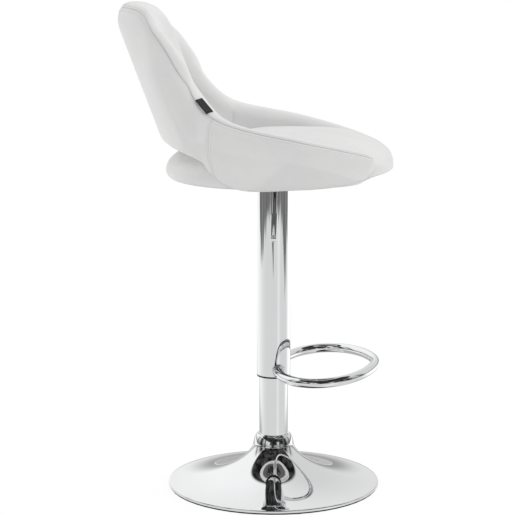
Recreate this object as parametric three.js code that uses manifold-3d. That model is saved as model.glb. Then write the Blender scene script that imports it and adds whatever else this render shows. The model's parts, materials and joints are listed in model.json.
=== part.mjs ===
// Bar stool with a footrest ring: trumpet base, swivelling gas lift, and a bucket seat whose
// padded back and wings are one wrap-around shell. Millimetres, +Z up, +X is the way the
// sitter faces and +Y is the sitter's left. The origin is on the column's axis, on the floor.
import * as THREE from 'three';
import { mergeVertices } from 'three/addons/utils/BufferGeometryUtils.js';
import Module from 'manifold-3d';

const wasm = await Module();
wasm.setup();

// ---------------------------------------------------------------- driving dimensions

const GAP = 0.3; // room left between two pieces that touch

const BASE_R = 200; // trumpet base
const RIM_Z = 8;
const SHEET = 2;
const NECK_R = 38;
const NECK_Z = 78;
const COLLAR_TOP = 99.5;
const COVER_Z = 2; // underside of the cover plate, above the floor

const PIPE_R = 27; // standing chrome pipe
const PIPE_WALL = 1.75;
const PIPE_TOP = 395;
const SLEEVE_R = 31.5; // outer sleeve that carries the footrest
const SLEEVE_WALL = 1.5;
const SLEEVE_BOTTOM = 215;

const CYLINDER_R = 14; // gas spring
const ROD_R = 5;
const CYLINDER_BOTTOM = 165;
const PISTON_Z = 365;

const LOOP_R = 9; // footrest tube
const LOOP_X = 10; // its ends meet the sleeve this far in front of the axis
const LOOP_Z = 227; // its height where it meets the sleeve
const LOOP_RISE = 0.07; // how far it climbs for each millimetre forward

const PLATE_BOTTOM = 585.5; // steel plate under the seat
const PLATE_T = 3;
const BOARD_BOTTOM = 590;
const BOARD_T = 12;
const RECESS_TOP = 605; // hollow in the cushion's underside for the board and the mechanism
const BOLT_X = 68; // plate bolts, from the axis
const BOLT_Y = 56;

const LEVER_R = 4;
const LEVER_X = 4; // the lever stands this far in front of the axis
const LEVER_Z = 597;
const PIVOT_Y = -26;
const BEND_Y = -38;
const LEVER_DROP = THREE.MathUtils.degToRad(32);
const GRIP_R = 6;
const GRIP_LENGTH = 70;
const LEVER_LENGTH = 180; // from the bend to the end of the grip

const SEAT_BOTTOM = 581;

// ---------------------------------------------------------------- geometry helpers

// A mesh geometry cleaned up to one closed surface whose faces point out.
function closed(source) {
  const bare = new THREE.BufferGeometry();
  bare.setAttribute('position', source.getAttribute('position'));
  if (source.index) bare.setIndex(source.index);
  const merged = mergeVertices(bare, 1e-3);
  const position = merged.getAttribute('position');
  const corners = [0, 1, 2].map(() => new THREE.Vector3());
  const kept = [];
  let volume = 0;
  for (let i = 0; i < merged.index.count; i += 3) {
    const triangle = [0, 1, 2].map((k) => merged.index.getX(i + k));
    if (new Set(triangle).size < 3) continue;
    triangle.forEach((vertex, k) => corners[k].fromBufferAttribute(position, vertex));
    volume += corners[0].dot(corners[1].clone().cross(corners[2]));
    kept.push(triangle);
  }
  const facing = volume < 0 ? kept.map(([a, b, c]) => [a, c, b]) : kept;
  merged.setIndex(facing.flat());
  return merged;
}

function toSolid(geometry) {
  const clean = closed(geometry);
  return new wasm.Manifold(
    new wasm.Mesh({
      numProp: 3,
      vertProperties: new Float32Array(clean.getAttribute('position').array),
      triVerts: new Uint32Array(clean.index.array),
    }),
  );
}

function toGeometry(solid) {
  const mesh = solid.getMesh();
  const geometry = new THREE.BufferGeometry();
  geometry.setAttribute('position', new THREE.BufferAttribute(mesh.vertProperties, 3));
  geometry.setIndex(new THREE.BufferAttribute(mesh.triVerts, 1));
  return geometry;
}

function cut(body, ...tools) {
  return toGeometry(tools.reduce((left, tool) => left.subtract(toSolid(tool)), toSolid(body)));
}

function join(...pieces) {
  return toGeometry(pieces.map(toSolid).reduce((sum, piece) => sum.add(piece)));
}

// A turned piece: profile is a list of [radius, height], closed on itself or on the axis.
function turned(profile, segments = 20) {
  const onAxis = profile[0][0] === 0 && profile.at(-1)[0] === 0;
  const outline = onAxis ? profile : [...profile, profile[0]];
  const points = outline.map(([r, z]) => new THREE.Vector2(r, z));
  return new THREE.LatheGeometry(points, segments).rotateX(Math.PI / 2);
}

function disc(r, z0, z1, segments = 20) {
  return turned([[0, z0], [r, z0], [r, z1], [0, z1]], segments);
}

function ring(rIn, rOut, z0, z1, segments = 20) {
  return turned([[rIn, z0], [rOut, z0], [rOut, z1], [rIn, z1]], segments);
}

function plate(shape, z0, z1, curveSegments = 5) {
  const options = { depth: z1 - z0, bevelEnabled: false, curveSegments };
  return new THREE.ExtrudeGeometry(shape, options).translate(0, 0, z0);
}

function roundedRectangle(x0, x1, y0, y1, r) {
  const shape = new THREE.Shape();
  shape.moveTo(x0 + r, y0);
  shape.absarc(x1 - r, y0 + r, r, -Math.PI / 2, 0);
  shape.absarc(x1 - r, y1 - r, r, 0, Math.PI / 2);
  shape.absarc(x0 + r, y1 - r, r, Math.PI / 2, Math.PI);
  shape.absarc(x0 + r, y0 + r, r, Math.PI, 1.5 * Math.PI);
  return shape;
}

// Points spaced evenly on a circle.
function around(count, r) {
  return Array.from({ length: count }, (_, i) => {
    const angle = (2 * Math.PI * i) / count;
    return [r * Math.cos(angle), r * Math.sin(angle)];
  });
}

// A hole with flat sides that clears a circle of radius r.
function roundHole(x, y, r, sides) {
  const corners = around(sides, r / Math.cos(Math.PI / sides)).reverse();
  return new THREE.Path(corners.map(([dx, dy]) => new THREE.Vector2(x + dx, y + dy)));
}

const holeOf = (shape) => new THREE.Path(shape.getPoints(3).reverse());

const BOLTS = [-BOLT_X, BOLT_X].flatMap((x) => [-BOLT_Y, BOLT_Y].map((y) => [x, y]));

// Round holes for the four plate bolts.
function boltHoles(shape, r) {
  shape.holes.push(...BOLTS.map(([x, y]) => roundHole(x, y, r, 12)));
}

// A round bar of radius r along a curve.
function bar(curve, r, steps, sides) {
  const section = new THREE.Shape();
  section.absarc(0, 0, r, 0, 2 * Math.PI);
  const options = { steps, extrudePath: curve, curveSegments: sides / 2, bevelEnabled: false };
  return new THREE.ExtrudeGeometry(section, options);
}

// A smooth curve through rows of [t, value, value, ...]: a cubic through each pair of rows,
// with the slope at a row taken from its neighbours.
function smooth(rows) {
  const slope = (i, k) => {
    const a = rows[Math.max(i - 1, 0)];
    const b = rows[Math.min(i + 1, rows.length - 1)];
    return (b[k] - a[k]) / (b[0] - a[0]);
  };
  return (t) => {
    let i = 0;
    while (i < rows.length - 2 && t > rows[i + 1][0]) i += 1;
    const [p, q] = [rows[i], rows[i + 1]];
    const width = q[0] - p[0];
    const u = (t - p[0]) / width;
    return p.slice(1).map((value, n) => {
      const k = n + 1;
      const start = value * (1 + 2 * u) * (1 - u) ** 2 + slope(i, k) * width * u * (1 - u) ** 2;
      return start + q[k] * u * u * (3 - 2 * u) + slope(i + 1, k) * width * u * u * (u - 1);
    });
  };
}

// Rows given for the left half of the seat, mirrored to the right half as negative t.
function mirrored(rows) {
  const right = rows.slice(1).map(([t, x, y, z]) => [-t, x, -y, z]);
  return smooth([...right.reverse(), ...rows]);
}

// A skin over loops of points, all with the same count. Each cell is split along its shorter
// diagonal, so that neighbouring layers fold the same way.
function skinned(loops) {
  const count = loops[0].length;
  const points = loops.flat();
  const index = [];
  for (let i = 0; i < loops.length - 1; i += 1) {
    for (let j = 0; j < count; j += 1) {
      const [a, b] = [i * count + j, i * count + ((j + 1) % count)];
      const [c, d] = [b + count, a + count];
      const firstIsShorter = points[a].distanceTo(points[c]) < points[b].distanceTo(points[d]);
      index.push(...(firstIsShorter ? [a, b, c, a, c, d] : [a, b, d, b, c, d]));
    }
  }
  const position = points.flatMap((point) => point.toArray());
  return { position, index, last: (loops.length - 1) * count };
}

// Triangles over a flat outline, wound the same way as the outline itself.
function fill(outline) {
  const winding = Math.sign(THREE.ShapeUtils.area(outline));
  return THREE.ShapeUtils.triangulateShape(outline, []).map(([a, b, c]) => {
    const area = THREE.ShapeUtils.area([outline[a], outline[b], outline[c]]);
    return Math.sign(area) === winding ? [a, b, c] : [a, c, b];
  });
}

function meshFrom(position, index) {
  const geometry = new THREE.BufferGeometry();
  geometry.setAttribute('position', new THREE.Float32BufferAttribute(position, 3));
  geometry.setIndex(index);
  return geometry;
}

// ---------------------------------------------------------------- wrap-around back and wings

// Rows given for the left half alone, for a value that is the same on both sides.
function halved(rows) {
  const curve = smooth(rows);
  return (t) => curve(Math.abs(t));
}

// The curve averaged over a short stretch of t, so that surfaces offset from it stay even.
// Beyond t = 1 and t = -1 it runs on straight.
function eased(curve) {
  const weights = [1, 8, 28, 56, 70, 56, 28, 8, 1];
  const reach = (t) => {
    const inside = THREE.MathUtils.clamp(t, -1, 1);
    const near = curve(inside);
    if (inside === t) return near;
    const back = curve(inside - 0.01 * Math.sign(t));
    return near.map((value, k) => value + (value - back[k]) * (Math.abs(t - inside) / 0.01));
  };
  return (t) => {
    const values = weights.map((_, k) => reach(t + (k - 4) * 0.018));
    return values[0].map((_, n) => values.reduce((sum, value, k) => sum + value[n] * weights[k], 0) / 256);
  };
}

// The shell's middle surface runs from a hem line up to a ridge line. t is 0 at the middle of
// the back and 1 at the front of a wing.
const ridge = eased(mirrored([
  [0, -271, 0, 913],
  [0.08, -257, 45, 913],
  [0.16, -225, 84, 904],
  [0.25, -204, 101, 873],
  [0.35, -179, 102, 834],
  [0.45, -150, 108, 789],
  [0.54, -119, 138, 749],
  [0.62, -88, 184, 719],
  [0.7, -42, 214, 704],
  [0.8, 40, 226, 688],
  [0.88, 108, 210, 671],
  [0.95, 161, 178, 656],
  [1, 186, 154, 648],
]));
const hem = eased(mirrored([
  [0, -171, 0, 660],
  [0.08, -170, 42, 660],
  [0.16, -163, 84, 659],
  [0.25, -151, 118, 656],
  [0.35, -136, 146, 651],
  [0.45, -118, 164, 642],
  [0.54, -101, 172, 630],
  [0.62, -82, 176, 611],
  [0.7, -52, 177, 594],
  [0.8, 30, 184, 597],
  [0.9, 118, 182, 603],
  [1, 174, 166, 613],
]));
// Full thickness of the padding and how far it bellies out, along t.
const build = eased(halved([
  [0, 63, 0],
  [0.25, 57, 8],
  [0.45, 46, 15],
  [0.62, 40, 15],
  [0.8, 34, 14],
  [0.92, 26, 9],
  [1, 14, 2],
]));
// The sewn seam between the rear panel and the front pad, in millimetres below the ridge.
const seamDrop = eased(halved([
  [0, 5],
  [0.12, 5],
  [0.18, 5],
  [0.22, 8],
  [0.25, 16],
  [0.28, 30],
  [0.31, 42],
  [0.36, 49],
  [0.41, 50],
  [0.46, 39],
  [0.51, 27],
  [0.56, 17],
  [0.62, 9],
  [0.7, 6],
  [1, 6],
]));

function middle(t, v) {
  const low = new THREE.Vector3(...hem(t));
  const high = new THREE.Vector3(...ridge(t));
  const step = 0.01;
  const behind = new THREE.Vector3(...hem(t - step)).add(new THREE.Vector3(...ridge(t - step)));
  const ahead = new THREE.Vector3(...hem(t + step)).add(new THREE.Vector3(...ridge(t + step)));
  const along = ahead.sub(behind);
  const outward = new THREE.Vector3(-along.y, along.x, 0).normalize();
  const belly = build(t)[1] * Math.sin(Math.PI * v);
  return low.lerp(high, v).addScaledVector(outward, belly);
}

// Height of the shell at t, half its thickness, and the share of the height over which the
// padding rounds off at the ridge and at the hem.
function measure(t) {
  const height = new THREE.Vector3(...hem(t)).distanceTo(new THREE.Vector3(...ridge(t)));
  const half = build(t)[0] / 2;
  return { height, half, rim: (1.3 * half) / height, foot: (0.7 * half) / height };
}

// A point of the shell: v from hem 0 to ridge 1, depth from outside 0 to inside 1.
function shellPoint(t, v, depth, proud = 0) {
  const step = 0.004;
  const { half, rim, foot } = measure(t);
  const across = middle(t, v + step).sub(middle(t, v - step));
  const along = middle(t + step, v).sub(middle(t - step, v));
  const normal = across.cross(along).normalize();
  const top = THREE.MathUtils.clamp((v - 1 + rim) / rim, 0, 1);
  const bottom = THREE.MathUtils.clamp((foot - v) / foot, 0, 1);
  const round = Math.sqrt(1 - top ** 2) * Math.sqrt(1 - 0.9 * bottom ** 2);
  return middle(t, v).addScaledVector(normal, (half * round + proud) * (1 - 2 * depth));
}

// A layer of the shell: outline(t) gives its section at t as a list of [v, depth, proud].
function shellLayer(outline, steps, from = -1, to = 1) {
  const loops = spread(from, to, steps + 1).map((t) =>
    outline(t).map(([v, depth, proud]) => shellPoint(t, v, depth, proud)));
  const { position, index, last } = skinned(loops);
  for (const [a, b, c] of fill(outline(from).map(([v, depth]) => new THREE.Vector2(v, depth)))) {
    index.push(a, c, b, last + a, last + b, last + c);
  }
  return meshFrom(position, index);
}

function spread(from, to, count) {
  return Array.from({ length: count }, (_, i) => from + ((to - from) * i) / (count - 1));
}

const seamV = (t) => 1 - seamDrop(t)[0] / measure(t).height;

const PANEL_IN = 0.27; // depth where the rear panel ends
const CORE_OUT = 0.31; // depths of the moulded core
const CORE_IN = 0.5;
const PAD_OUT = 0.54; // depth where the front pad begins

// Levels at which the lining is shaped, from the hem up to the ridge.
function liningLevels(t) {
  const { rim } = measure(t);
  return [...spread(0, 1 - 1.4 * rim, 6), ...[1, 0.66, 0.36, 0.14].map((share) => 1 - rim * share)];
}

// The level up to which the three layers share their shape: under the seam and the rounded ridge.
function coreTop(t) {
  const { height, rim } = measure(t);
  return Math.min(seamV(t) - 6 / height, 1 - rim);
}

// Levels at which the layers behind the lining are shaped, from above the rounded hem up to
// the given distance under the core's top.
function hiddenLevels(t, under) {
  const { height, foot } = measure(t);
  return spread(foot, coreTop(t) - under / height, 4);
}

// Levels of the rear panel and the front pad above the core, up to the given distance under
// the seam.
function edgeLevels(t, under) {
  return spread(coreTop(t), seamV(t) - under / measure(t).height, 4).slice(1);
}

// The front pad lines the inside, rolls over the ridge and ends at the outer seam.
function frontPadOutline(t) {
  const seam = seamV(t);
  const behind = [0, ...hiddenLevels(t, 0), ...edgeLevels(t, 0)].map((v) => [v, PAD_OUT]);
  const outside = [1, 0.6, 0.3, 0.1].map((share) => [1 - (1 - seam) * share, 0]);
  const lining = liningLevels(t).reverse().map((v) => [v, 1]);
  return [...behind, [seam, PANEL_IN], ...outside, [1, 0.5], ...lining];
}

function rearPanelOutline(t) {
  const levels = [0, ...hiddenLevels(t, 0), ...edgeLevels(t, 3 * GAP)];
  return [...levels.map((v) => [v, 0]), ...levels.reverse().map((v) => [v, PANEL_IN])];
}

function coreOutline(t) {
  const levels = hiddenLevels(t, 8 * GAP);
  return [...levels.map((v) => [v, CORE_IN]), ...levels.reverse().map((v) => [v, CORE_OUT])];
}

// Everything outside the lining of the wings: what the seat cushion has to stay clear of.
function wingRoomOutline(t) {
  const wing = THREE.MathUtils.smoothstep(Math.abs(t), 0.56, 0.68);
  const under = -THREE.MathUtils.lerp((3 * GAP) / measure(t).height, 0.2, wing);
  const levels = [under, ...liningLevels(t), 1 + (3 * GAP) / measure(t).height];
  const outside = levels.map((v) => [v, -0.5, 30]);
  return [...outside, ...levels.reverse().map((v) => [v, 1, 4 * GAP]), [under, PAD_OUT], [under, 0]];
}

const TAG_FROM = -0.588;
const TAG_TO = -0.518;
const TAG_WIDTH = 11;

// A patch that follows the outside of the shell along the seam, between two heights above
// its surface; margin grows it on every side.
function patch(bottom, top, margin) {
  const loops = spread(TAG_FROM - margin / 500, TAG_TO + margin / 500, 6).map((t) => {
    const { height } = measure(t);
    const low = seamV(t) + (1.5 - margin) / height;
    const high = seamV(t) + (1.5 + TAG_WIDTH + margin) / height;
    const face = (proud) => spread(low, high, 4).map((v) => shellPoint(t, v, 0, proud));
    return [...face(bottom), ...face(top).reverse()];
  });
  const { position, index, last } = skinned(loops);
  for (const k of [0, 1, 2]) {
    const [a, b, c, d] = [k, k + 1, 6 - k, 7 - k];
    index.push(a, c, b, a, d, c, last + a, last + b, last + c, last + a, last + c, last + d);
  }
  return meshFrom(position, index);
}

// The maker's tag, a plain black patch set into the leather beside the outer seam of the
// right-hand wing.
const sewnTag = () => patch(0.2, 1.2, 0);

const frontPad = () => cut(shellLayer(frontPadOutline, 44), patch(-0.6, 5, 4 * GAP));

// ---------------------------------------------------------------- seat cushion

const SEAT_FRONT = 228;
const SEAT_REAR = 205;

// Height of the cushion's crown, of its widest line and of its underside, along x.
const crownLine = smooth([
  [-205, 650], [-160, 652], [-100, 662], [-40, 670], [60, 672], [150, 675], [228, 674],
]);
const edgeLine = smooth([[-205, 605], [-100, 612], [0, 622], [120, 622], [228, 612]]);
const bottomLine = smooth([[-205, SEAT_BOTTOM], [60, SEAT_BOTTOM], [120, 587], [170, 596], [228, 603]]);

// A point on a rounded plan outline that is longer in front than behind.
function outlinePoint(angle, { front, rear, side, frontPower, rearPower }) {
  const [c, s] = [Math.cos(angle), Math.sin(angle)];
  const power = 2 / (c > 0 ? frontPower : rearPower);
  const x = (c > 0 ? front : -rear) * Math.abs(c) ** power;
  return [x, side(x) * Math.sign(s) * Math.abs(s) ** power];
}

const CUSHION = {
  front: SEAT_FRONT,
  rear: SEAT_REAR,
  side: (x) => THREE.MathUtils.lerp(188, 230, THREE.MathUtils.smoothstep(x, -100, 40)),
  frontPower: 2.6,
  rearPower: 2.3,
};

function cushionPoint(angle, share, up) {
  const [edgeX, edgeY] = outlinePoint(angle, CUSHION);
  const [x, y] = [edgeX * share, edgeY * share];
  const edge = edgeLine(edgeX)[0];
  const far = (up ? crownLine : bottomLine)(x)[0];
  const boxy = 2.7 + 1.3 * Math.sin(angle) ** 2 + (Math.cos(angle) < 0 ? 0.5 : 0);
  const swell = Math.max(1 - share ** boxy, 0) ** (1 / boxy);
  return new THREE.Vector3(x, y, edge + (far - edge) * swell);
}

function cushionBlank() {
  const corners = 52;
  const shares = [0.3, 0.6, 0.8, 0.91, 0.975, 1];
  const loop = (share, up) =>
    Array.from({ length: corners }, (_, i) => cushionPoint((2 * Math.PI * i) / corners, share, up));
  const lower = shares.map((share) => loop(share, false));
  const upper = shares.slice(0, -1).reverse().map((share) => loop(share, true));
  const { position, index, last } = skinned([...lower, ...upper]);
  const floor = position.length / 3;
  position.push(0, 0, bottomLine(0)[0], 0, 0, crownLine(0)[0]);
  for (let j = 0; j < corners; j += 1) {
    const next = (j + 1) % corners;
    index.push(floor, next, j, floor + 1, last + j, last + next);
  }
  return meshFrom(position, index);
}

// The seat board's outline, with its edge moved in by inset.
function boardShape(inset) {
  const outline = {
    front: 165 - inset,
    rear: 150 - inset,
    side: () => 145 - inset,
    frontPower: 3,
    rearPower: 2.4,
  };
  const corners = Array.from({ length: 36 }, (_, i) => outlinePoint((2 * Math.PI * i) / 36, outline));
  return new THREE.Shape(corners.map(([x, y]) => new THREE.Vector2(x, y)));
}

function seatCushion() {
  const wings = shellLayer(wingRoomOutline, 44, -1.004, 1.004);
  const recess = plate(boardShape(-1), SEAT_BOTTOM - 20, RECESS_TOP);
  return cut(cushionBlank(), wings, recess);
}

// ---------------------------------------------------------------- base

function baseDish() {
  const flare = new THREE.CubicBezierCurve(
    new THREE.Vector2(BASE_R - 1, RIM_Z),
    new THREE.Vector2(120, 12),
    new THREE.Vector2(52, 42),
    new THREE.Vector2(NECK_R, NECK_Z),
  ).getPoints(9).map((p) => [p.x, p.y]);
  const under = flare.map(([r, z], i) => {
    const [a, b] = [flare[Math.max(i - 1, 0)], flare[Math.min(i + 1, flare.length - 1)]];
    const length = Math.hypot(b[0] - a[0], b[1] - a[1]);
    return [r + ((b[1] - a[1]) / length) * -SHEET, z - (-(b[0] - a[0]) / length) * SHEET];
  });
  const lip = [[BASE_R - 3, 3], [BASE_R, 3], [BASE_R, RIM_Z - 2]];
  const neckTop = [[PIPE_R + GAP + 0.1, NECK_Z], [PIPE_R + GAP + 0.1, NECK_Z - SHEET]];
  return turned([...lip, ...flare, ...neckTop, ...under.reverse()], 44);
}

function collar() {
  const bulge = new THREE.CubicBezierCurve(
    new THREE.Vector2(38.2, NECK_Z + 1.8),
    new THREE.Vector2(37, 88),
    new THREE.Vector2(34, 97),
    new THREE.Vector2(29.6, COLLAR_TOP),
  ).getPoints(4).map((p) => [p.x, p.y]);
  const bore = PIPE_R + GAP;
  return turned([[bore, NECK_Z + GAP], [38.6, NECK_Z + GAP], ...bulge, [bore, COLLAR_TOP - 1]], 36);
}

// ---------------------------------------------------------------- lift

function ballCage() {
  const balls = Array.from({ length: 8 }, (_, i) => {
    const angle = (2 * Math.PI * i) / 8;
    return new THREE.SphereGeometry(2.4, 6, 4).translate(12 * Math.cos(angle), 12 * Math.sin(angle), 38);
  });
  return join(ring(8.6, 15.4, 37.4, 38.6, 16), ...balls);
}

function gasCylinder() {
  const taper = [[CYLINDER_R, 527], [CYLINDER_R - 0.8, 586]];
  const inner = CYLINDER_R - 3;
  return turned([
    [inner, CYLINDER_BOTTOM],
    [CYLINDER_R, CYLINDER_BOTTOM],
    ...taper,
    [3.4, 586],
    [3.4, 500],
    [inner, 500],
  ], 24);
}

function taperSocket() {
  const top = PLATE_BOTTOM + PLATE_T;
  return turned([[CYLINDER_R + 0.6, 529], [20, 529], [20, top], [CYLINDER_R - 0.4, top]], 32);
}

// ---------------------------------------------------------------- footrest

function loopCurve() {
  const half = [
    [LOOP_X - 1, 24],
    [14, 62],
    [24, 92],
    [50, 128],
    [88, 145],
    [128, 134],
    [162, 98],
    [184, 48],
  ];
  const near = half.map(([x, y]) => [x, -y]).reverse();
  const height = (x) => LOOP_Z + LOOP_RISE * (x - LOOP_X);
  const points = [...half, [192, 0], ...near].map(([x, y]) => new THREE.Vector3(x, y, height(x)));
  return new THREE.CatmullRomCurve3(points, false, 'centripetal');
}

const sleeveRoom = () => disc(SLEEVE_R + GAP, SLEEVE_BOTTOM - 50, SLEEVE_BOTTOM + 80, 36);

const footrestRing = () => cut(bar(loopCurve(), LOOP_R, 44, 12), sleeveRoom());

// The weld bead where a tube end meets the sleeve: a ring that follows the sleeve's curve.
function footrestWeld(side) {
  const [beadR, throughR] = [1.8, LOOP_R + 2.2];
  const loops = spread(0, 2 * Math.PI, 17).map((a) => {
    const [x, z] = [LOOP_X + throughR * Math.cos(a), LOOP_Z + throughR * Math.sin(a)];
    const centre = new THREE.Vector3(x, side * Math.sqrt((SLEEVE_R + 0.6) ** 2 - x ** 2), z);
    const outward = new THREE.Vector3(Math.cos(a), 0, Math.sin(a));
    const aside = new THREE.Vector3(0, side, 0);
    return spread(0, 2 * Math.PI, 7).slice(0, -1).map((b) =>
      centre.clone()
        .addScaledVector(outward, beadR * Math.cos(b))
        .addScaledVector(aside, beadR * Math.sin(b)));
  });
  const { position, index } = skinned(loops);
  return cut(meshFrom(position, index), sleeveRoom());
}

// ---------------------------------------------------------------- seat mechanism

function seatPlate() {
  const shape = roundedRectangle(-88, 88, -88, 76, 14);
  shape.holes.push(roundHole(0, 0, 20 + GAP, 24));
  shape.holes.push(holeOf(roundedRectangle(LEVER_X - 7, LEVER_X + 7, -80, -32, 4)));
  boltHoles(shape, 4.5);
  return plate(shape, PLATE_BOTTOM, PLATE_BOTTOM + PLATE_T);
}

const mechanismHole = () => holeOf(roundedRectangle(-26, 30, -84, 26, 8));

function seatBoard() {
  const shape = boardShape(0.6);
  shape.holes.push(mechanismHole());
  boltHoles(shape, 5.2);
  return plate(shape, BOARD_BOTTOM, BOARD_BOTTOM + BOARD_T);
}

function dustCover() {
  const shape = boardShape(3);
  shape.holes.push(mechanismHole());
  boltHoles(shape, 7);
  return plate(shape, 588.9, 589.7);
}

function plateBolt() {
  const top = BOARD_BOTTOM + BOARD_T + 1.4;
  const under = PLATE_BOTTOM - GAP;
  const head = [[0, under - 4.6], [5, under - 4.6], [7.5, under - 2.4], [7.5, under]];
  const profile = [...head, [4, under], [4, top], [0, top]];
  return turned(profile, 10);
}

function teeNut() {
  const top = BOARD_BOTTOM + BOARD_T + GAP;
  const bore = 4 + GAP;
  const barrel = [[bore, BOARD_BOTTOM + 2], [4.9, BOARD_BOTTOM + 2], [4.9, top]];
  return turned([...barrel, [10, top], [10, top + 1.4], [bore, top + 1.4]], 10);
}

function leverHousing() {
  const shape = new THREE.Shape();
  const [inner, outer] = [5.2, 7.2];
  const [foot, web, roof] = [PLATE_BOTTOM + PLATE_T + GAP, 602.2, 604.2];
  shape.moveTo(-outer, foot);
  shape.lineTo(-inner, foot);
  shape.lineTo(-inner, web);
  shape.lineTo(inner, web);
  shape.lineTo(inner, foot);
  shape.lineTo(outer, foot);
  shape.lineTo(outer, roof);
  shape.lineTo(-outer, roof);
  const body = new THREE.ExtrudeGeometry(shape, { depth: 8, bevelEnabled: false });
  body.rotateX(Math.PI / 2).translate(LEVER_X, PIVOT_Y + 4, 0);
  return cut(body, pivotHole());
}

const pivotHole = () =>
  new THREE.CylinderGeometry(2.2, 2.2, 40, 16).rotateZ(Math.PI / 2).translate(LEVER_X, PIVOT_Y, LEVER_Z);

const pivotPin = () =>
  new THREE.CylinderGeometry(2, 2, 20, 16).rotateZ(Math.PI / 2).translate(LEVER_X, PIVOT_Y, LEVER_Z);

// ---------------------------------------------------------------- lever

function leverCurve() {
  const reach = LEVER_LENGTH - GRIP_LENGTH / 2;
  const at = (y, z) => new THREE.Vector3(LEVER_X, y, z);
  const bend = at(BEND_Y, LEVER_Z);
  const end = at(BEND_Y - reach * Math.cos(LEVER_DROP), LEVER_Z - reach * Math.sin(LEVER_DROP));
  const turnIn = at(BEND_Y + 6, LEVER_Z);
  const turnOut = bend.clone().lerp(end, 6 / reach);
  const path = new THREE.CurvePath();
  path.add(new THREE.LineCurve3(at(2, LEVER_Z), turnIn));
  path.add(new THREE.QuadraticBezierCurve3(turnIn, bend, turnOut));
  path.add(new THREE.LineCurve3(turnOut, end));
  return path;
}

const leverRod = () => cut(bar(leverCurve(), LEVER_R, 22, 10), pivotHole());

function leverGrip() {
  const bore = LEVER_R + GAP;
  const dome = [30, 60, 90].map((a) => THREE.MathUtils.degToRad(a));
  const profile = [
    [0, GRIP_LENGTH],
    ...dome.map((a) => [GRIP_R * Math.sin(a), GRIP_LENGTH - GRIP_R * 0.6 * (1 - Math.cos(a))]),
    [GRIP_R, 1],
    [GRIP_R - 1, 0],
    [bore, 0],
    [bore, GRIP_LENGTH / 2 + 1],
    [0, GRIP_LENGTH / 2 + 1],
  ];
  const start = LEVER_LENGTH - GRIP_LENGTH;
  const grip = turned(profile, 20).rotateX(Math.PI / 2 + LEVER_DROP);
  const along = start * Math.cos(LEVER_DROP);
  return grip.translate(LEVER_X, BEND_Y - along, LEVER_Z - start * Math.sin(LEVER_DROP));
}

// ---------------------------------------------------------------- scene graph

const FINISH = {
  chrome: { color: 0xd4d6d8, roughness: 0.08, metalness: 1 },
  steel: { color: 0x8e9194, roughness: 0.45, metalness: 1 },
  zinc: { color: 0xb4b6ae, roughness: 0.35, metalness: 1 },
  blackSteel: { color: 0x1c1d1f, roughness: 0.4, metalness: 0.6 },
  iron: { color: 0x3c3d3f, roughness: 0.8, metalness: 0.7 },
  plastic: { color: 0x141415, roughness: 0.5, metalness: 0 },
  rubber: { color: 0x101010, roughness: 0.85, metalness: 0 },
  wood: { color: 0xb08c5c, roughness: 0.7, metalness: 0 },
  leather: { color: 0xe6e5e3, roughness: 0.45, metalness: 0 },
  cloth: { color: 0x18181a, roughness: 0.95, metalness: 0 },
  lining: { color: 0x6a6a6a, roughness: 0.95, metalness: 0 },
};

const stool = new THREE.Group();

function add(name, geometry, finish, at = [0, 0, 0]) {
  const mesh = new THREE.Mesh(closed(geometry), new THREE.MeshStandardMaterial(FINISH[finish]));
  mesh.name = name;
  mesh.position.set(...at);
  stool.add(mesh);
}

// Base: everything that stands still.
const FLANGE_BOLT_R = 46;
const BASE_PLATE_Z = 7.5;
const FLANGE_Z = 10.8;
const HUB_HOLE = 16;

function hexNut(r, height) {
  const shape = new THREE.Shape(around(6, r).map(([x, y]) => new THREE.Vector2(x, y)));
  shape.holes.push(roundHole(0, 0, 4 + GAP, 12));
  return plate(shape, 0, height);
}

function boltedDisc(rIn, rOut, z0, z1) {
  const shape = new THREE.Shape().absarc(0, 0, rOut, 0, 2 * Math.PI);
  shape.holes.push(roundHole(0, 0, rIn, 20));
  shape.holes.push(...around(3, FLANGE_BOLT_R).map(([x, y]) => roundHole(x, y, 4.4, 12)));
  return plate(shape, z0, z1, 15);
}

add('base_dish', baseDish(), 'chrome');
add('base_edge_ring', turned([[188, 0], [198, 0], [198.8, 1], [198.8, 2.7], [188, 2.7]], 48), 'rubber');
add('underside_cover', disc(186, COVER_Z, COVER_Z + 1.6, 36), 'plastic');
add('base_plate', boltedDisc(HUB_HOLE, 136, BASE_PLATE_Z, FLANGE_Z - GAP), 'steel');
add('ballast_ring', turned([[64, FLANGE_Z], [118, FLANGE_Z], [118, 15], [64, 36]], 32), 'iron');
add('pipe_flange', boltedDisc(HUB_HOLE, 60, FLANGE_Z, FLANGE_Z + 4), 'steel');
around(3, FLANGE_BOLT_R).forEach(([x, y], i) => {
  const bolt = turned([[0, 0], [6.5, 0], [6.5, 3.2], [4, 3.2], [4, 20], [0, 20]], 12);
  add(`flange_bolt_${i + 1}`, bolt, 'zinc', [x, y, 4]);
  add(`flange_nut_${i + 1}`, hexNut(7.5, 5.5), 'zinc', [x, y, FLANGE_Z + 4 + GAP]);
});
add('column_pipe', ring(PIPE_R - PIPE_WALL, PIPE_R, FLANGE_Z + 4 + GAP, PIPE_TOP, 36), 'chrome');
add('base_collar', collar(), 'chrome');
add('pipe_end_plate', ring(6, PIPE_R - PIPE_WALL - GAP, 24, 30), 'steel');
add('lower_race', ring(6.2, 16, 30 + GAP, 35.3, 20), 'steel');
add('ball_cage', ballCage(), 'steel');
const bushIn = CYLINDER_R + 0.35;
const bushOut = PIPE_R - PIPE_WALL - GAP;
const bushLip = PIPE_TOP + GAP;
add('guide_bush', turned([
  [bushIn, 325],
  [bushOut, 325],
  [bushOut, bushLip],
  [PIPE_R, bushLip],
  [PIPE_R, bushLip + 4],
  [bushIn, bushLip + 4],
]), 'plastic');

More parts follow.
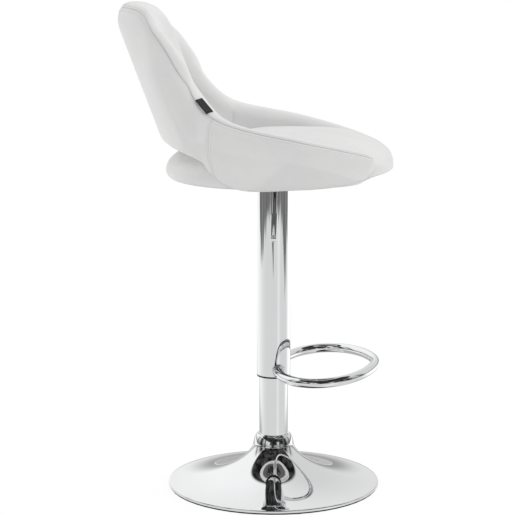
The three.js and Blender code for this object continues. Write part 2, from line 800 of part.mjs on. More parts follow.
// Lift rod: swivels on the ball bearing at the foot of the pipe.
const onRod = ROD_R + GAP;
add('piston_rod', disc(ROD_R, 16, 385, 20), 'steel');
add('gas_piston', ring(onRod, 10.6, PISTON_Z, PISTON_Z + 15, 20), 'plastic');
add('upper_race', ring(onRod, HUB_HOLE, 40.8, 45, 20), 'steel');
add('bump_stop', ring(onRod, 12, 45 + GAP, 62, 20), 'rubber');
add('rod_washer', ring(onRod, 12, 20.4, 23.6, 20), 'zinc');
add('rod_clip', ring(onRod, 8, 18.4, 20, 16), 'blackSteel');

// Seat unit: rises and turns as one.
add('gas_cylinder', gasCylinder(), 'blackSteel');
const guideRing = ring(ROD_R + 0.35, CYLINDER_R - 3 - GAP, CYLINDER_BOTTOM + 2, CYLINDER_BOTTOM + 18, 20);
add('cylinder_end_guide', guideRing, 'plastic');
add('column_sleeve', ring(SLEEVE_R - SLEEVE_WALL, SLEEVE_R, SLEEVE_BOTTOM, PLATE_BOTTOM - GAP, 36), 'chrome');
const ringIn = PIPE_R + 0.35;
const sleeveIn = SLEEVE_R - SLEEVE_WALL - GAP;
add('sleeve_guide_ring', turned([
  [ringIn, SLEEVE_BOTTOM - 3],
  [SLEEVE_R, SLEEVE_BOTTOM - 3],
  [SLEEVE_R, SLEEVE_BOTTOM - GAP],
  [sleeveIn, SLEEVE_BOTTOM - GAP],
  [sleeveIn, SLEEVE_BOTTOM + 20],
  [ringIn, SLEEVE_BOTTOM + 20],
], 36), 'plastic');
add('footrest_ring', footrestRing(), 'chrome');
add('footrest_weld_left', footrestWeld(1), 'chrome');
add('footrest_weld_right', footrestWeld(-1), 'chrome');
add('taper_socket', taperSocket(), 'steel');
add('sleeve_top_ring', ring(20 + GAP, sleeveIn, 555, 572), 'steel');
add('seat_plate', seatPlate(), 'blackSteel');
add('lever_housing', leverHousing(), 'blackSteel');
add('lever_pivot_pin', pivotPin(), 'zinc');
BOLTS.forEach(([x, y], i) => {
  add(`plate_bolt_${i + 1}`, plateBolt(), 'zinc', [x, y, 0]);
  add(`tee_nut_${i + 1}`, teeNut(), 'zinc', [x, y, 0]);
});
add('seat_board', seatBoard(), 'wood');
add('dust_cover', dustCover(), 'lining');
add('seat_cushion', seatCushion(), 'leather');
add('back_front_pad', frontPad(), 'leather');
add('back_rear_panel', shellLayer(rearPanelOutline, 44), 'leather');
add('back_core', shellLayer(coreOutline, 40, -20 / 22, 20 / 22), 'wood');
add('sewn_tag', sewnTag(), 'cloth');

// Height lever and the valve button that it presses.
add('lever_rod', leverRod(), 'chrome');
add('lever_grip', leverGrip(), 'chrome');
add('valve_button', turned([[0, 510], [3, 510], [3, 590], [5, 590], [5, 592.7], [0, 592.7]], 16), 'steel');

export default stool;
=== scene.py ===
"""Bar stool with a footrest ring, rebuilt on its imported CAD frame.

Metres, +Z up, +X the way the sitter faces. The soft seat, the chrome and the trims are made
here as finer pieces that stand for the plain CAD solids; everything else keeps its CAD mesh
and gets a material.
"""
import json
import math

import bmesh
import bpy
import numpy as np
from mathutils import Matrix, Vector

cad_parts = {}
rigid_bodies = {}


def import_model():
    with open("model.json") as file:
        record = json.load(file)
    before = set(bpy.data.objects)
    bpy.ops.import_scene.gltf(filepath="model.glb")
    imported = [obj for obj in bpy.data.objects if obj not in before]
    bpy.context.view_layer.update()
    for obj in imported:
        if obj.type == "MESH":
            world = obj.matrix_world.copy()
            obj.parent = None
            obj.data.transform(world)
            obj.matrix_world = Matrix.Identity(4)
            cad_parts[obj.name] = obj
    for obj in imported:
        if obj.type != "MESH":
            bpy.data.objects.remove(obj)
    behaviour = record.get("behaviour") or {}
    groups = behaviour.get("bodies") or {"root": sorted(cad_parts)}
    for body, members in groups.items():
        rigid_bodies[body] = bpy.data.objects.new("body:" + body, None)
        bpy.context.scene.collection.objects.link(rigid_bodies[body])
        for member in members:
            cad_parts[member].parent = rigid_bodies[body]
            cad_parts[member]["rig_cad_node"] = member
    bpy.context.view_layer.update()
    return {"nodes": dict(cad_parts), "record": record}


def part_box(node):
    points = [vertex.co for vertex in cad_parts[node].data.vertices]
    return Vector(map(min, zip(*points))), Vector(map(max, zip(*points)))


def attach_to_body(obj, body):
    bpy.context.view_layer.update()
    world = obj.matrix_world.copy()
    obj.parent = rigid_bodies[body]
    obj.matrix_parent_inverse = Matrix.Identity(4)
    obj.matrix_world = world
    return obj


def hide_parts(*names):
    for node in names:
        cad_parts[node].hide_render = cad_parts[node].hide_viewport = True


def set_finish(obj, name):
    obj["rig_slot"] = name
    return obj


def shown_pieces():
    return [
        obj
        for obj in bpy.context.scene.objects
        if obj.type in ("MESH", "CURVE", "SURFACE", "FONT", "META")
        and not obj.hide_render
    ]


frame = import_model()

NODES = frame["nodes"]
MM = 0.001

scene = bpy.context.scene
scene.view_settings.view_transform = "Standard"

# ------------------------------------------------------------------ camera

HEADING = math.radians(2.0)
TILT_DOWN = 9.982
CAMERA_AT = (-0.0306, -3.4, 1.0369)  # before it is turned by the heading

camera_data = bpy.data.cameras.new("camera")
camera_data.sensor_width = 36
camera_data.lens = 128.67
camera = bpy.data.objects.new("camera", camera_data)
scene.collection.objects.link(camera)
camera.location = Matrix.Rotation(HEADING, 3, "Z") @ Vector(CAMERA_AT)
camera.rotation_euler = (math.radians(90 - TILT_DOWN), 0, HEADING)
scene.camera = camera

# ------------------------------------------------------------------ mesh helpers


def mesh_object(name, points, faces, sharp=None, grid=False):
    """An object from points in metres, smooth shaded, with edges over sharp degrees kept.
    A grid keeps every point, and its flat ends are cut into triangles."""
    mesh = bpy.data.meshes.new(name)
    mesh.from_pydata([tuple(p) for p in points], [], faces)
    bm = bmesh.new()
    bm.from_mesh(mesh)
    if grid:
        bmesh.ops.triangulate(bm, faces=[f for f in bm.faces if len(f.verts) > 4])
    else:
        bmesh.ops.remove_doubles(bm, verts=bm.verts, dist=1e-7)
    bmesh.ops.recalc_face_normals(bm, faces=bm.faces)
    bm.to_mesh(mesh)
    bm.free()
    mesh.polygons.foreach_set("use_smooth", [True] * len(mesh.polygons))
    if sharp is not None:
        mesh.set_sharp_from_angle(angle=math.radians(sharp))
    piece = bpy.data.objects.new(name, mesh)
    scene.collection.objects.link(piece)
    return piece


def attach(piece, body, slot, *nodes):
    """Says what a piece moves with, what it is made of and which CAD nodes it stands for."""
    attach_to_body(piece, body)
    if nodes:
        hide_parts(*nodes)
    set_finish(piece, slot)
    return piece


def belts(rings, around, joined=False):
    """Quads between rings that follow one another, each with around points."""
    faces = []
    for i in range(rings if joined else rings - 1):
        near, far = i * around, (i + 1) % rings * around
        for j in range(around):
            k = (j + 1) % around
            faces.append((near + j, near + k, far + k, far + j))
    return faces


def closed_stack(rings, around):
    """The same quads, with the first and the last ring filled in."""
    last = (rings - 1) * around
    return belts(rings, around) + [tuple(range(around)), tuple(range(last, last + around))]


LONG_SIDE = 6
HOLD = 0.5


def held_outline(profile):
    """The outline with a point added close to each end of its long straight sides, so that the
    smooth shading of a rounded corner stays at the corner."""
    out = []
    for (r0, z0), (r1, z1) in zip(profile, profile[1:] + profile[:1]):
        out.append((r0, z0))
        length = math.hypot(r1 - r0, z1 - z0)
        if length > LONG_SIDE:
            for share in (HOLD / length, 1 - HOLD / length):
                out.append((r0 + (r1 - r0) * share, z0 + (z1 - z0) * share))
    return out


def lathe(name, profile, segments=128, sharp=32):
    """A turned piece: profile is a closed list of (radius, height) in millimetres."""
    profile = held_outline(profile)
    rows = len(profile)
    points = []
    for i in range(segments):
        a = 2 * math.pi * i / segments
        points += [(r * MM * math.cos(a), r * MM * math.sin(a), z * MM) for r, z in profile]
    on_axis = [r <= 0 for r, _ in profile]
    faces = [f for f in belts(segments, rows, joined=True)
             if not (on_axis[f[0] % rows] and on_axis[f[1] % rows])]
    return mesh_object(name, points, faces, sharp)


def bezier(p0, p1, p2, p3, count):
    """Points on a cubic curve through a plane."""
    t = np.linspace(0, 1, count)[:, None]
    a, b, c, d = (np.array(p, float) for p in (p0, p1, p2, p3))
    curve = a * (1 - t) ** 3 + 3 * b * t * (1 - t) ** 2 + 3 * c * t * t * (1 - t) + d * t**3
    return [tuple(p) for p in curve]


def rounded(corners, radius):
    """A closed outline with each corner rounded by radius, where its sides leave room."""
    out = []
    count = len(corners)
    for i in range(count):
        before, here, after = (np.array(corners[(i + k) % count], float) for k in (-1, 0, 1))
        to_before, to_after = before - here, after - here
        reach = min(radius, 0.45 * np.linalg.norm(to_before), 0.45 * np.linalg.norm(to_after))
        start = here + to_before / np.linalg.norm(to_before) * reach
        end = here + to_after / np.linalg.norm(to_after) * reach
        for t in np.linspace(0, 1, 4):
            out.append(tuple(start * (1 - t) ** 2 + 2 * here * t * (1 - t) + end * t * t))
    return out


def frames_along(path):
    """Two unit vectors across a path at each of its points, without twist."""
    path = np.asarray(path, float)
    along = np.gradient(path, axis=0)
    along /= np.linalg.norm(along, axis=1)[:, None]
    first = np.cross(along[0], (0, 0, 1))
    if np.linalg.norm(first) < 1e-3:
        first = np.cross(along[0], (1, 0, 0))
    sides = []
    for tangent in along:
        first = first - tangent * first.dot(tangent)
        first /= np.linalg.norm(first)
        sides.append((first.copy(), np.cross(tangent, first)))
    return sides


def tube(name, path, radius, sides, sharp=None):
    """A round tube along a path, both in metres."""
    path = np.asarray(path, float)
    angles = [2 * math.pi * k / sides for k in range(sides)]
    points = []
    for p, (u, w) in zip(path, frames_along(path)):
        points += [p + radius * (math.cos(a) * u + math.sin(a) * w) for a in angles]
    return mesh_object(name, points, closed_stack(len(path), sides), sharp)


def apply_boolean(piece, cutter):
    """Takes cutter away from piece, for good."""
    modifier = piece.modifiers.new("cut", "BOOLEAN")
    modifier.operation = "DIFFERENCE"
    modifier.solver = "EXACT"
    modifier.object = cutter
    bake_modifiers(piece)
    bpy.data.objects.remove(cutter)


def bake_modifiers(piece):
    """Replaces a piece's mesh by what its modifiers make of it."""
    graph = bpy.context.evaluated_depsgraph_get()
    mesh = bpy.data.meshes.new_from_object(piece.evaluated_get(graph))
    piece.modifiers.clear()
    old = piece.data
    piece.data = mesh
    bpy.data.meshes.remove(old)


def coordinates(mesh):
    """Vertex positions as an array."""
    out = np.empty(len(mesh.vertices) * 3, np.float64)
    mesh.vertices.foreach_get("co", out)
    return out.reshape(-1, 3)


def set_coordinates(mesh, points):
    mesh.vertices.foreach_set("co", np.asarray(points, np.float64).ravel())
    mesh.update()


def normals_of(mesh):
    out = np.empty(len(mesh.vertices) * 3, np.float32)
    mesh.vertex_normals.foreach_get("vector", out)
    return out.reshape(-1, 3).astype(float)


# ------------------------------------------------------------------ shell of the back and wings

# The shell's middle surface runs from a hem line up to a ridge line. t is 0 at the middle of
# the back and 1 at the front of a wing. Rows hold t and then x, y, z in millimetres.
RIDGE = [
    (0, -271, 0, 913), (0.08, -257, 45, 913), (0.16, -225, 84, 904), (0.25, -204, 101, 873),
    (0.35, -179, 102, 834), (0.45, -150, 108, 789), (0.54, -119, 138, 749),
    (0.62, -88, 184, 719), (0.7, -42, 214, 704), (0.8, 40, 226, 688), (0.88, 108, 210, 671),
    (0.95, 161, 178, 656), (1, 186, 154, 648),
]
HEM = [
    (0, -171, 0, 660), (0.08, -170, 42, 660), (0.16, -163, 84, 659), (0.25, -151, 118, 656),
    (0.35, -136, 146, 651), (0.45, -118, 164, 642), (0.54, -101, 172, 630),
    (0.62, -82, 176, 611), (0.7, -52, 177, 594), (0.8, 30, 184, 597), (0.9, 118, 182, 603),
    (1, 174, 166, 613),
]
# t, full thickness of the padding, how far it bellies out.
BUILD = [(0, 63, 0), (0.25, 57, 8), (0.45, 46, 15), (0.62, 40, 15), (0.8, 34, 14),
         (0.92, 26, 9), (1, 14, 2)]
# t, how far the sewn seam lies below the ridge.
SEAM_DROP = [(0, 5), (0.12, 5), (0.18, 5), (0.22, 8), (0.25, 16), (0.28, 30), (0.31, 42),
             (0.36, 49), (0.41, 50), (0.46, 39), (0.51, 27), (0.56, 17), (0.62, 9), (0.7, 6),
             (1, 6)]
PANEL_IN = 0.27
PAD_OUT = 0.54


def smooth(rows):
    """A cubic through rows of (t, value, ...), each slope taken from the row's neighbours."""
    table = np.array(rows, float)
    knots, values = table[:, 0], table[:, 1:]
    low = np.maximum(np.arange(len(knots)) - 1, 0)
    high = np.minimum(np.arange(len(knots)) + 1, len(knots) - 1)
    slopes = (values[high] - values[low]) / (knots[high] - knots[low])[:, None]

    def curve(t):
        t = np.asarray(t, float)
        i = np.clip(np.searchsorted(knots, t, side="left") - 1, 0, len(knots) - 2)
        width = (knots[i + 1] - knots[i])[..., None]
        u = (t - knots[i])[..., None] / width
        start = values[i] * (1 + 2 * u) * (1 - u) ** 2 + slopes[i] * width * u * (1 - u) ** 2
        return start + values[i + 1] * u * u * (3 - 2 * u) + slopes[i + 1] * width * u * u * (u - 1)

    return curve


def mirrored(rows):
    """Rows given for the left half, mirrored to the right half as negative t."""
    right = [(-t, x, -y, z) for t, x, y, z in rows[1:]]
    return smooth(right[::-1] + list(rows))


EASING = (1, 8, 28, 56, 70, 56, 28, 8, 1)
EASE_STEP = 0.018
END_STEP = 0.01


def eased(curve):
    """The curve averaged over a short stretch of t, so that surfaces offset from it stay even.
    Beyond t = 1 and t = -1 it runs on straight."""

    def reach(t):
        inside = np.clip(t, -1, 1)
        near = curve(inside)
        back = curve(inside - END_STEP * np.sign(t))
        return near + (near - back) * (np.abs(t - inside) / END_STEP)[..., None]

    def average(t):
        t = np.asarray(t, float)
        half = len(EASING) // 2
        total = sum(w * reach(t + (k - half) * EASE_STEP) for k, w in enumerate(EASING))
        return total / sum(EASING)

    return average


ridge, hem = eased(mirrored(RIDGE)), eased(mirrored(HEM))
build_rows, drop_rows = smooth(BUILD), smooth(SEAM_DROP)
build = eased(lambda t: build_rows(np.abs(t)))
seam_drop = eased(lambda t: drop_rows(np.abs(t)))


def unit(vectors):
    return vectors / np.linalg.norm(vectors, axis=-1)[..., None]


def middle(t, v):
    """The middle surface, v from hem 0 to ridge 1."""
    low, high = hem(t), ridge(t)
    step = 0.01
    along = hem(t + step) + ridge(t + step) - hem(t - step) - ridge(t - step)
    outward = unit(np.stack([-along[..., 1], along[..., 0], 0 * along[..., 0]], -1))
    belly = build(t)[..., 1] * np.sin(np.pi * v)
    return low + (high - low) * v[..., None] + outward * belly[..., None]

RIM_ROUND, FOOT_ROUND = 1.3, 0.7  # lengths of the rounded edges, in half thicknesses


def measure(t):
    """Height of the shell, half its thickness, and the rounded shares at ridge and hem."""
    height = np.linalg.norm(ridge(t) - hem(t), axis=-1)
    half = build(t)[..., 0] / 2
    return height, half, RIM_ROUND * half / height, FOOT_ROUND * half / height


END_FROM, END_SPAN, END_THIN = 0.955, 0.045, 0.92  # where in t the ends thin, and by how much
FOOT_THIN = 0.9


def shell_point(t, v, depth, proud=0.0):
    """Points of the shell in millimetres: v from hem 0 to ridge 1, depth from outside 0 to
    inside 1. The wings' ends are rounded off."""
    t, v = np.broadcast_arrays(np.asarray(t, float), np.asarray(v, float))
    step = 0.004
    _, half, rim, foot = measure(t)
    across = middle(t, v + step) - middle(t, v - step)
    along = middle(t + step, v) - middle(t - step, v)
    normal = unit(np.cross(across, along))
    top = np.clip((v - 1 + rim) / rim, 0, 1)
    bottom = np.clip((foot - v) / foot, 0, 1)
    end = END_THIN * np.clip((np.abs(t) - END_FROM) / END_SPAN, 0, 1)
    round_off = np.sqrt(1 - top**2) * np.sqrt(1 - FOOT_THIN * bottom**2) * np.sqrt(1 - end**2)
    offset = (half * round_off + proud) * (1 - 2 * np.asarray(depth, float))
    return middle(t, v) + normal * offset[..., None]


def seam_v(t):
    return 1 - seam_drop(t)[..., 0] / measure(t)[0]

WING_SEAM = 0.612  # t of the upright seams where the wings' leather joins the back's
STATION_STEP, LEAST_STEP = 6.0, 0.45
SEAM_SPOTS = (-5, -3.4, -2.2, -1.3, -0.6, 0, 0.6, 1.3, 2.2, 3.4, 5)


def shell_stations():
    """Values of t from one wing's end to the other, closer together beside the upright seams,
    and how far along the shell each one lies in millimetres."""
    fine = np.linspace(-1, 1, 2001)
    line = middle(fine, np.full_like(fine, 0.75))
    length = np.concatenate([[0], np.cumsum(np.linalg.norm(np.diff(line, axis=0), axis=1))])
    spots = list(np.linspace(0, length[-1], int(length[-1] / STATION_STEP)))
    for side in (-WING_SEAM, WING_SEAM):
        spots += [np.interp(side, fine, length) + k for k in SEAM_SPOTS]
    spots = np.unique(np.round(np.clip(spots, 0, length[-1]), 2))
    kept = [spots[0]]
    for s in spots[1:]:
        if s - kept[-1] > LEAST_STEP:
            kept.append(s)
    kept[-1] = length[-1]
    return np.interp(kept, length, fine), np.array(kept)


STATIONS, REACH = shell_stations()
SEAM_REACH = [np.interp(side, STATIONS, REACH) for side in (-WING_SEAM, WING_SEAM)]
TO_SEAM = np.min([np.abs(REACH - spot) for spot in SEAM_REACH], axis=0)


def rounded_end(t, v):
    """Pulls the corners of a wing's end back, so that it ends in an arc."""
    return t * (1 - 0.035 * (2 * np.clip(v, 0, 1) - 1) ** 2 * np.abs(t) ** 24)


GROOVE_DEPTH, GROOVE_WIDTH = 1.1, 1.8
GROOVE_SPOTS = (0.0, 0.8, 1.8, 3.2, 5.0)


def groove(distance):
    """How far leather is pulled in at a distance from its seam, in millimetres."""
    return -GROOVE_DEPTH * np.exp(-((distance / GROOVE_WIDTH) ** 2))


def skin(name, outline):
    """A closed solid over sections: outline(t) gives (v, depth, proud, held) arrays. held is 1
    where the leather is sewn or stapled down."""
    sections = [outline(t) for t in STATIONS]
    v, depth, proud, held = (np.array([s[k] for s in sections]) for k in range(4))
    t = rounded_end(STATIONS[:, None] * np.ones_like(v), v)
    points = shell_point(t, v, depth, proud).reshape(-1, 3) * MM
    return mesh_object(name, points, closed_stack(*v.shape), grid=True), held, v.shape


PRESSURE = 4.0
SWELL_FRAMES = 20


def inflate(piece, held, cap):
    """Swells a closed cover with cloth simulation, holding it where it is sewn down. No point
    moves further than cap, in millimetres."""
    group = piece.vertex_groups.new(name="held")
    for index in np.nonzero(held.ravel() > 0.5)[0]:
        group.add([int(index)], 1.0, "REPLACE")
    modifier = piece.modifiers.new("swell", "CLOTH")
    cloth = modifier.settings
    cloth.quality = 4
    cloth.mass = 0.3
    cloth.tension_stiffness = cloth.compression_stiffness = 12
    cloth.bending_stiffness = 0.8
    cloth.use_pressure = True
    cloth.uniform_pressure_force = PRESSURE
    cloth.effector_weights.gravity = 0
    cloth.vertex_group_mass = "held"
    modifier.collision_settings.use_collision = False
    modifier.collision_settings.use_self_collision = False
    modifier.point_cache.frame_start, modifier.point_cache.frame_end = 1, SWELL_FRAMES
    start = coordinates(piece.data)
    for number in range(1, SWELL_FRAMES + 1):
        scene.frame_set(number)
    graph = bpy.context.evaluated_depsgraph_get()
    swollen = coordinates(piece.evaluated_get(graph).data)
    piece.modifiers.remove(modifier)
    piece.vertex_groups.clear()
    scene.frame_set(1)
    move = swollen - start
    length = np.linalg.norm(move, axis=1)
    limit = cap * MM * np.tanh(length / (cap * MM)) / np.maximum(length, 1e-9)
    set_coordinates(piece.data, start + move * limit[:, None])


def subdivide(piece):
    modifier = piece.modifiers.new("soft", "SUBSURF")
    modifier.levels = modifier.render_levels = 1


def store_crease_shade(piece, values):
    """Stores how close each point is to a seam, for the material, which darkens the leather there
    as painted shade in the seams' creases.
    """
    attribute = piece.data.attributes.new("crease_shade", "FLOAT", "POINT")
    attribute.data.foreach_set("value", np.asarray(values, np.float32).ravel())


HIDDEN = 7  # points of the pad's outline before its seam


def groove_parts(edge, step):
    """The outline beside a sewn edge, where the leather comes up out of its groove."""
    return [(edge + d * step, 0, float(groove(d)), int(d == 0)) for d in GROOVE_SPOTS]


def pad_outline(t):
    """The front pad: up its hidden back, out to the seam, over the ridge, down the lining."""
    height, _, rim, foot = (float(x) for x in measure(t))
    seam = float(seam_v(t))
    parts = [(v, PAD_OUT, 0, 1) for v in np.linspace(0, seam - 1 / height, HIDDEN - 2)]
    parts += [(seam - 0.4 / height, 0.3, 0, 1), (seam - 0.2 / height, 0.06, -1.5, 1)]
    parts += groove_parts(seam, 1 / height)
    run = (1 - seam) * height
    low = min(GROOVE_SPOTS[-1], 0.6 * run)
    for share in np.linspace(0, 1, 10)[1:-1]:
        d = low + (run - low) * math.sin(share * math.pi / 2)
        parts.append((seam + d / height, 0, 0, 0))
    parts.append((1, 0.5, 0, 0))
    parts += [(1 - rim * (1 - math.cos(a)), 1, 0, 0) for a in np.linspace(0.12, math.pi / 2, 11)]
    parts += [(v, 1, 0, 0) for v in np.linspace(1 - rim, foot, 18)[1:]]
    parts += [(v, 1, 0, 0) for v in np.linspace(foot, 0, 5)[1:-1]]
    parts.append((0, 1, 0, 1))
    return np.array(in_order(parts)).T


def in_order(parts):
    """Keeps the climb from the seam to the ridge in order where a low seam crowds it."""
    top = next(i for i, p in enumerate(parts) if p[0] == 1)
    highest = 0
    for i in range(HIDDEN, top):
        v = min(max(parts[i][0], highest), 1 - 1e-4)
        highest = v + 1e-5
        parts[i] = (v, *parts[i][1:])
    return parts


def panel_outline(t):
    """The rear panel: up its hidden inside, out to the seam, down the outside."""
    height, _, _, foot = (float(x) for x in measure(t))
    top = float(seam_v(t)) - 0.25 / height
    parts = [(v, PANEL_IN, 0, 1) for v in np.linspace(0, top - 0.4 / height, 5)]
    parts.append((top - 0.1 / height, 0.06, -1.5, 1))
    parts += groove_parts(top, -1 / height)
    parts += [(v, 0, 0, 0) for v in np.linspace(top - GROOVE_SPOTS[-1] / height, foot, 26)[1:]]
    parts += [(v, 0, 0, 0) for v in np.linspace(foot, 0, 6)[1:-1]]
    parts.append((0, 0, 0, 1))
    return np.array(parts).T


def smooth_along(piece, shape, first, rounds=30):
    """Evens out the columns of a grid along the shell, less and less toward the first one."""
    columns = np.arange(shape[1])
    points = coordinates(piece.data).reshape(*shape, 3)
    weight = np.clip((columns - first) / 5, 0, 1) * (columns <= shape[1] - 2)
    for _ in range(rounds):
        even = (points[:-2] + 2 * points[1:-1] + points[2:]) / 4
        points[1:-1] += (even - points[1:-1]) * weight[None, :, None]
    set_coordinates(piece.data, points.reshape(-1, 3))


def press_seam(piece, shape, first):
    """Pulls the leather in along the upright seams, from the first column of a grid on, and gives
    how deep the groove this makes is at each point, for painted shade in the leather's colour."""
    pull = np.zeros(shape)
    pull[:, first : shape[1] - 1] = groove(TO_SEAM)[:, None]
    pull = pull.ravel()
    points = coordinates(piece.data) + normals_of(piece.data) * pull[:, None] * MM
    set_coordinates(piece.data, points)
    return -pull / GROOVE_DEPTH


def leather_cover(name, node, outline, sewn, face, even_from=None):
    """One of the shell's two covers. sewn, face and even_from are columns of its grid: the sewn
    edge, where its open face starts, and from where it is evened out. Gives the grid."""
    piece, held, shape = skin(name, outline)
    inflate(piece, held, 5)
    if even_from is not None:
        smooth_along(piece, shape, even_from)
    crease_shade = press_seam(piece, shape, face)
    # Painted shade: the sewn edge's first columns and the grooves of the upright seams are stored,
    # and the leather colour is darkened there.
    edge = np.zeros(shape)
    edge[:, sewn : sewn + 5] = (1, 1, 0.8, 0.4, 0.1)
    store_crease_shade(piece, np.clip(crease_shade + edge.ravel(), 0, 1))
    grid = coordinates(piece.data).reshape(*shape, 3)
    subdivide(piece)
    attach(piece, "seat_unit", "leather", node)
    return grid


PAD_GRID = leather_cover("back_pad", "back_front_pad", pad_outline, 6, 30, even_from=19)
COVER_GRID = leather_cover("back_cover", "back_rear_panel", panel_outline, 5, 8)


def piping(name, line, radius):
    """A round strip of leather along a line, both in millimetres."""
    attach(tube(name, line * MM, radius * MM, 12), "seat_unit", "leather")


# The welt closes the hem between the two covers, the piping closes each wing's end.
piping("hem_welt", shell_point(np.linspace(-0.97, 0.97, 241), -0.006, 0.42), 3.0)
climb = np.linspace(0.03, 0.95, 60)
for side, name in ((-1, "end_piping_right"), (1, "end_piping_left")):
    ends = rounded_end(side * 0.99, climb)
    piping(name, shell_point(ends, climb, (PANEL_IN + PAD_OUT) / 2), 2.8)

# ------------------------------------------------------------------ seat cushion

SEAT_FRONT, SEAT_REAR = 228, 205
SEAT_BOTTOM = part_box("seat_cushion")[0].z / MM
CROWN = smooth([(-SEAT_REAR, 650), (-160, 652), (-100, 662), (-40, 670), (60, 672), (150, 675),
                (SEAT_FRONT, 674)])
EDGE = smooth([(-SEAT_REAR, 605), (-100, 612), (0, 622), (120, 622), (SEAT_FRONT, 612)])
BOTTOM = smooth([(-SEAT_REAR, SEAT_BOTTOM), (60, SEAT_BOTTOM), (120, 587), (170, 596),
                 (SEAT_FRONT, 603)])


def plan_outline(count, front, rear, side, front_power, rear_power):
    """Angles, x and y of an outline seen from above: side(x) is its half width, and a higher
    power makes that end squarer."""
    angle = 2 * np.pi * np.arange(count) / count
    c, s = np.cos(angle), np.sin(angle)
    power = np.where(c > 0, 2 / front_power, 2 / rear_power)
    x = np.where(c > 0, front, -rear) * np.abs(c) ** power
    return angle, x, side(x) * np.sign(s) * np.abs(s) ** power


def ease(x, low, high):
    u = np.clip((x - low) / (high - low), 0, 1)
    return u * u * (3 - 2 * u)


SEAT_CORNERS = 160
SEAT_INSET = 3.0  # what the cushion is made smaller by, before it swells
SEAT_REACH = 215  # its mean reach from the column


def cushion_blank():
    """The whole cushion before the wings are taken out of it."""
    angle, edge_x, edge_y = plan_outline(
        SEAT_CORNERS, SEAT_FRONT, SEAT_REAR, lambda x: 188 + 42 * ease(x, -100, 40), 2.6, 2.3)
    spread = np.sin(np.linspace(0.04, math.pi / 2, 26))
    boxy = 2.7 + 1.3 * np.sin(angle) ** 2 + np.where(np.cos(angle) < 0, 0.5, 0)
    shrink = 1 - SEAT_INSET / SEAT_REACH

    def loop(share, up):
        far = (CROWN if up else BOTTOM)(edge_x * share)[..., 0]
        edge = EDGE(edge_x)[..., 0]
        swell = np.maximum(1 - share**boxy, 0) ** (1 / boxy)
        z = edge + (far - edge + (-SEAT_INSET if up else SEAT_INSET * 0.3)) * swell
        return np.stack([edge_x * share * shrink, edge_y * share * shrink, z], -1)

    rings = [loop(s, False) for s in spread] + [loop(s, True) for s in spread[::-1][1:]]
    points = np.concatenate(rings) * MM
    return mesh_object("seat_pad", points, closed_stack(len(rings), SEAT_CORNERS))


WING_GAP = 1.8  # between the cushion and the wings' lining
WING_MARGIN = 3  # how far the room runs on past ridge and hem


def wing_room():
    """Everything outside the wings' lining, grown inwards by the gap."""
    t = np.linspace(-1.004, 1.004, 141)
    height = measure(t)[0]
    wing = ease(np.abs(t), 0.56, 0.68)
    under = -((WING_MARGIN / height) * (1 - wing) + 0.2 * wing)
    full = 1 + WING_MARGIN / height - under
    climb = [(k, 1, WING_GAP) for k in np.linspace(0, 1, 22)]
    climb += [(k, -0.5, 30) for k in np.linspace(1, 0, 22)]
    v = np.stack([under + full * k for k, _, _ in climb], 1)
    depth, proud = (np.broadcast_to([c[m] for c in climb], v.shape) for m in (1, 2))
    points = shell_point(t[:, None], v, depth, proud).reshape(-1, 3)
    return mesh_object("wing_room", points * MM, closed_stack(*v.shape))


BOARD_FRONT, BOARD_REAR, BOARD_SIDE = 167, 152, 147
ROOM_TOP, WRAP_TOP = 605.5, 605


def board_plan(count):
    """Points round the seat board's edge, seen from above."""
    return plan_outline(
        count, BOARD_FRONT, BOARD_REAR, lambda x: np.full_like(x, BOARD_SIDE), 3, 2.4)[1:]


def board_room(corners=72):
    """The hollow under the cushion for the board and the mechanism."""
    x, y = board_plan(corners)
    points = [(a, b, z) for z in (SEAT_BOTTOM - 20, ROOM_TOP) for a, b in zip(x, y)]
    return mesh_object("board_room", np.array(points) * MM, closed_stack(2, corners))


def board_wrap(corners=144):
    """The cushion's leather where it is pulled down round the board's edge and tucked under."""
    x, y = board_plan(corners)
    profile = ((0.9, WRAP_TOP), (0.9, 590.6), (0.5, 589.3), (-2.2, 588.7), (-2.2, 589.7),
               (-0.1, 589.9), (-0.1, WRAP_TOP))
    points = [(a * (1 + out / r), b * (1 + out / r), z)
              for a, b, r in zip(x, y, np.hypot(x, y)) for out, z in profile]
    faces = belts(corners, len(profile), joined=True)
    return mesh_object("board_wrap", np.array(points) * MM, faces, 50)


attach(board_wrap(), "seat_unit", "leather")


def voxel_remesh(piece, size):
    modifier = piece.modifiers.new("voxels", "REMESH")
    modifier.mode = "VOXEL"
    modifier.voxel_size = size
    modifier.use_smooth_shade = True
    bake_modifiers(piece)


def relax(piece, rounds, factor=0.5):
    modifier = piece.modifiers.new("relax", "SMOOTH")
    modifier.factor = factor
    modifier.iterations = rounds
    bake_modifiers(piece)


seat_pad = cushion_blank()
apply_boolean(seat_pad, wing_room())
apply_boolean(seat_pad, board_room())
voxel_remesh(seat_pad, 5 * MM)
relax(seat_pad, 6)
seat_points = coordinates(seat_pad.data)
over_board = (np.abs(seat_points[:, 0]) < 0.17) & (np.abs(seat_points[:, 1]) < 0.15)
seat_held = ((seat_points[:, 2] < 0.607) & over_board).astype(float)
inflate(seat_pad, seat_held, 4)
relax(seat_pad, 2)
store_crease_shade(seat_pad, np.zeros(len(seat_pad.data.vertices)))
subdivide(seat_pad)
attach(seat_pad, "seat_unit", "leather", "seat_cushion")

# ------------------------------------------------------------------ stitches and tag


def grid_point(grid, i, j):
    """Position on a grid of points at fractional row i and column j."""
    rows, columns = grid.shape[:2]
    i0, j0 = int(min(max(i, 0), rows - 2)), int(min(max(j, 0), columns - 2))
    a, b = i - i0, j - j0
    near = grid[i0, j0] * (1 - b) + grid[i0, j0 + 1] * b
    far = grid[i0 + 1, j0] * (1 - b) + grid[i0 + 1, j0 + 1] * b
    return near * (1 - a) + far * a


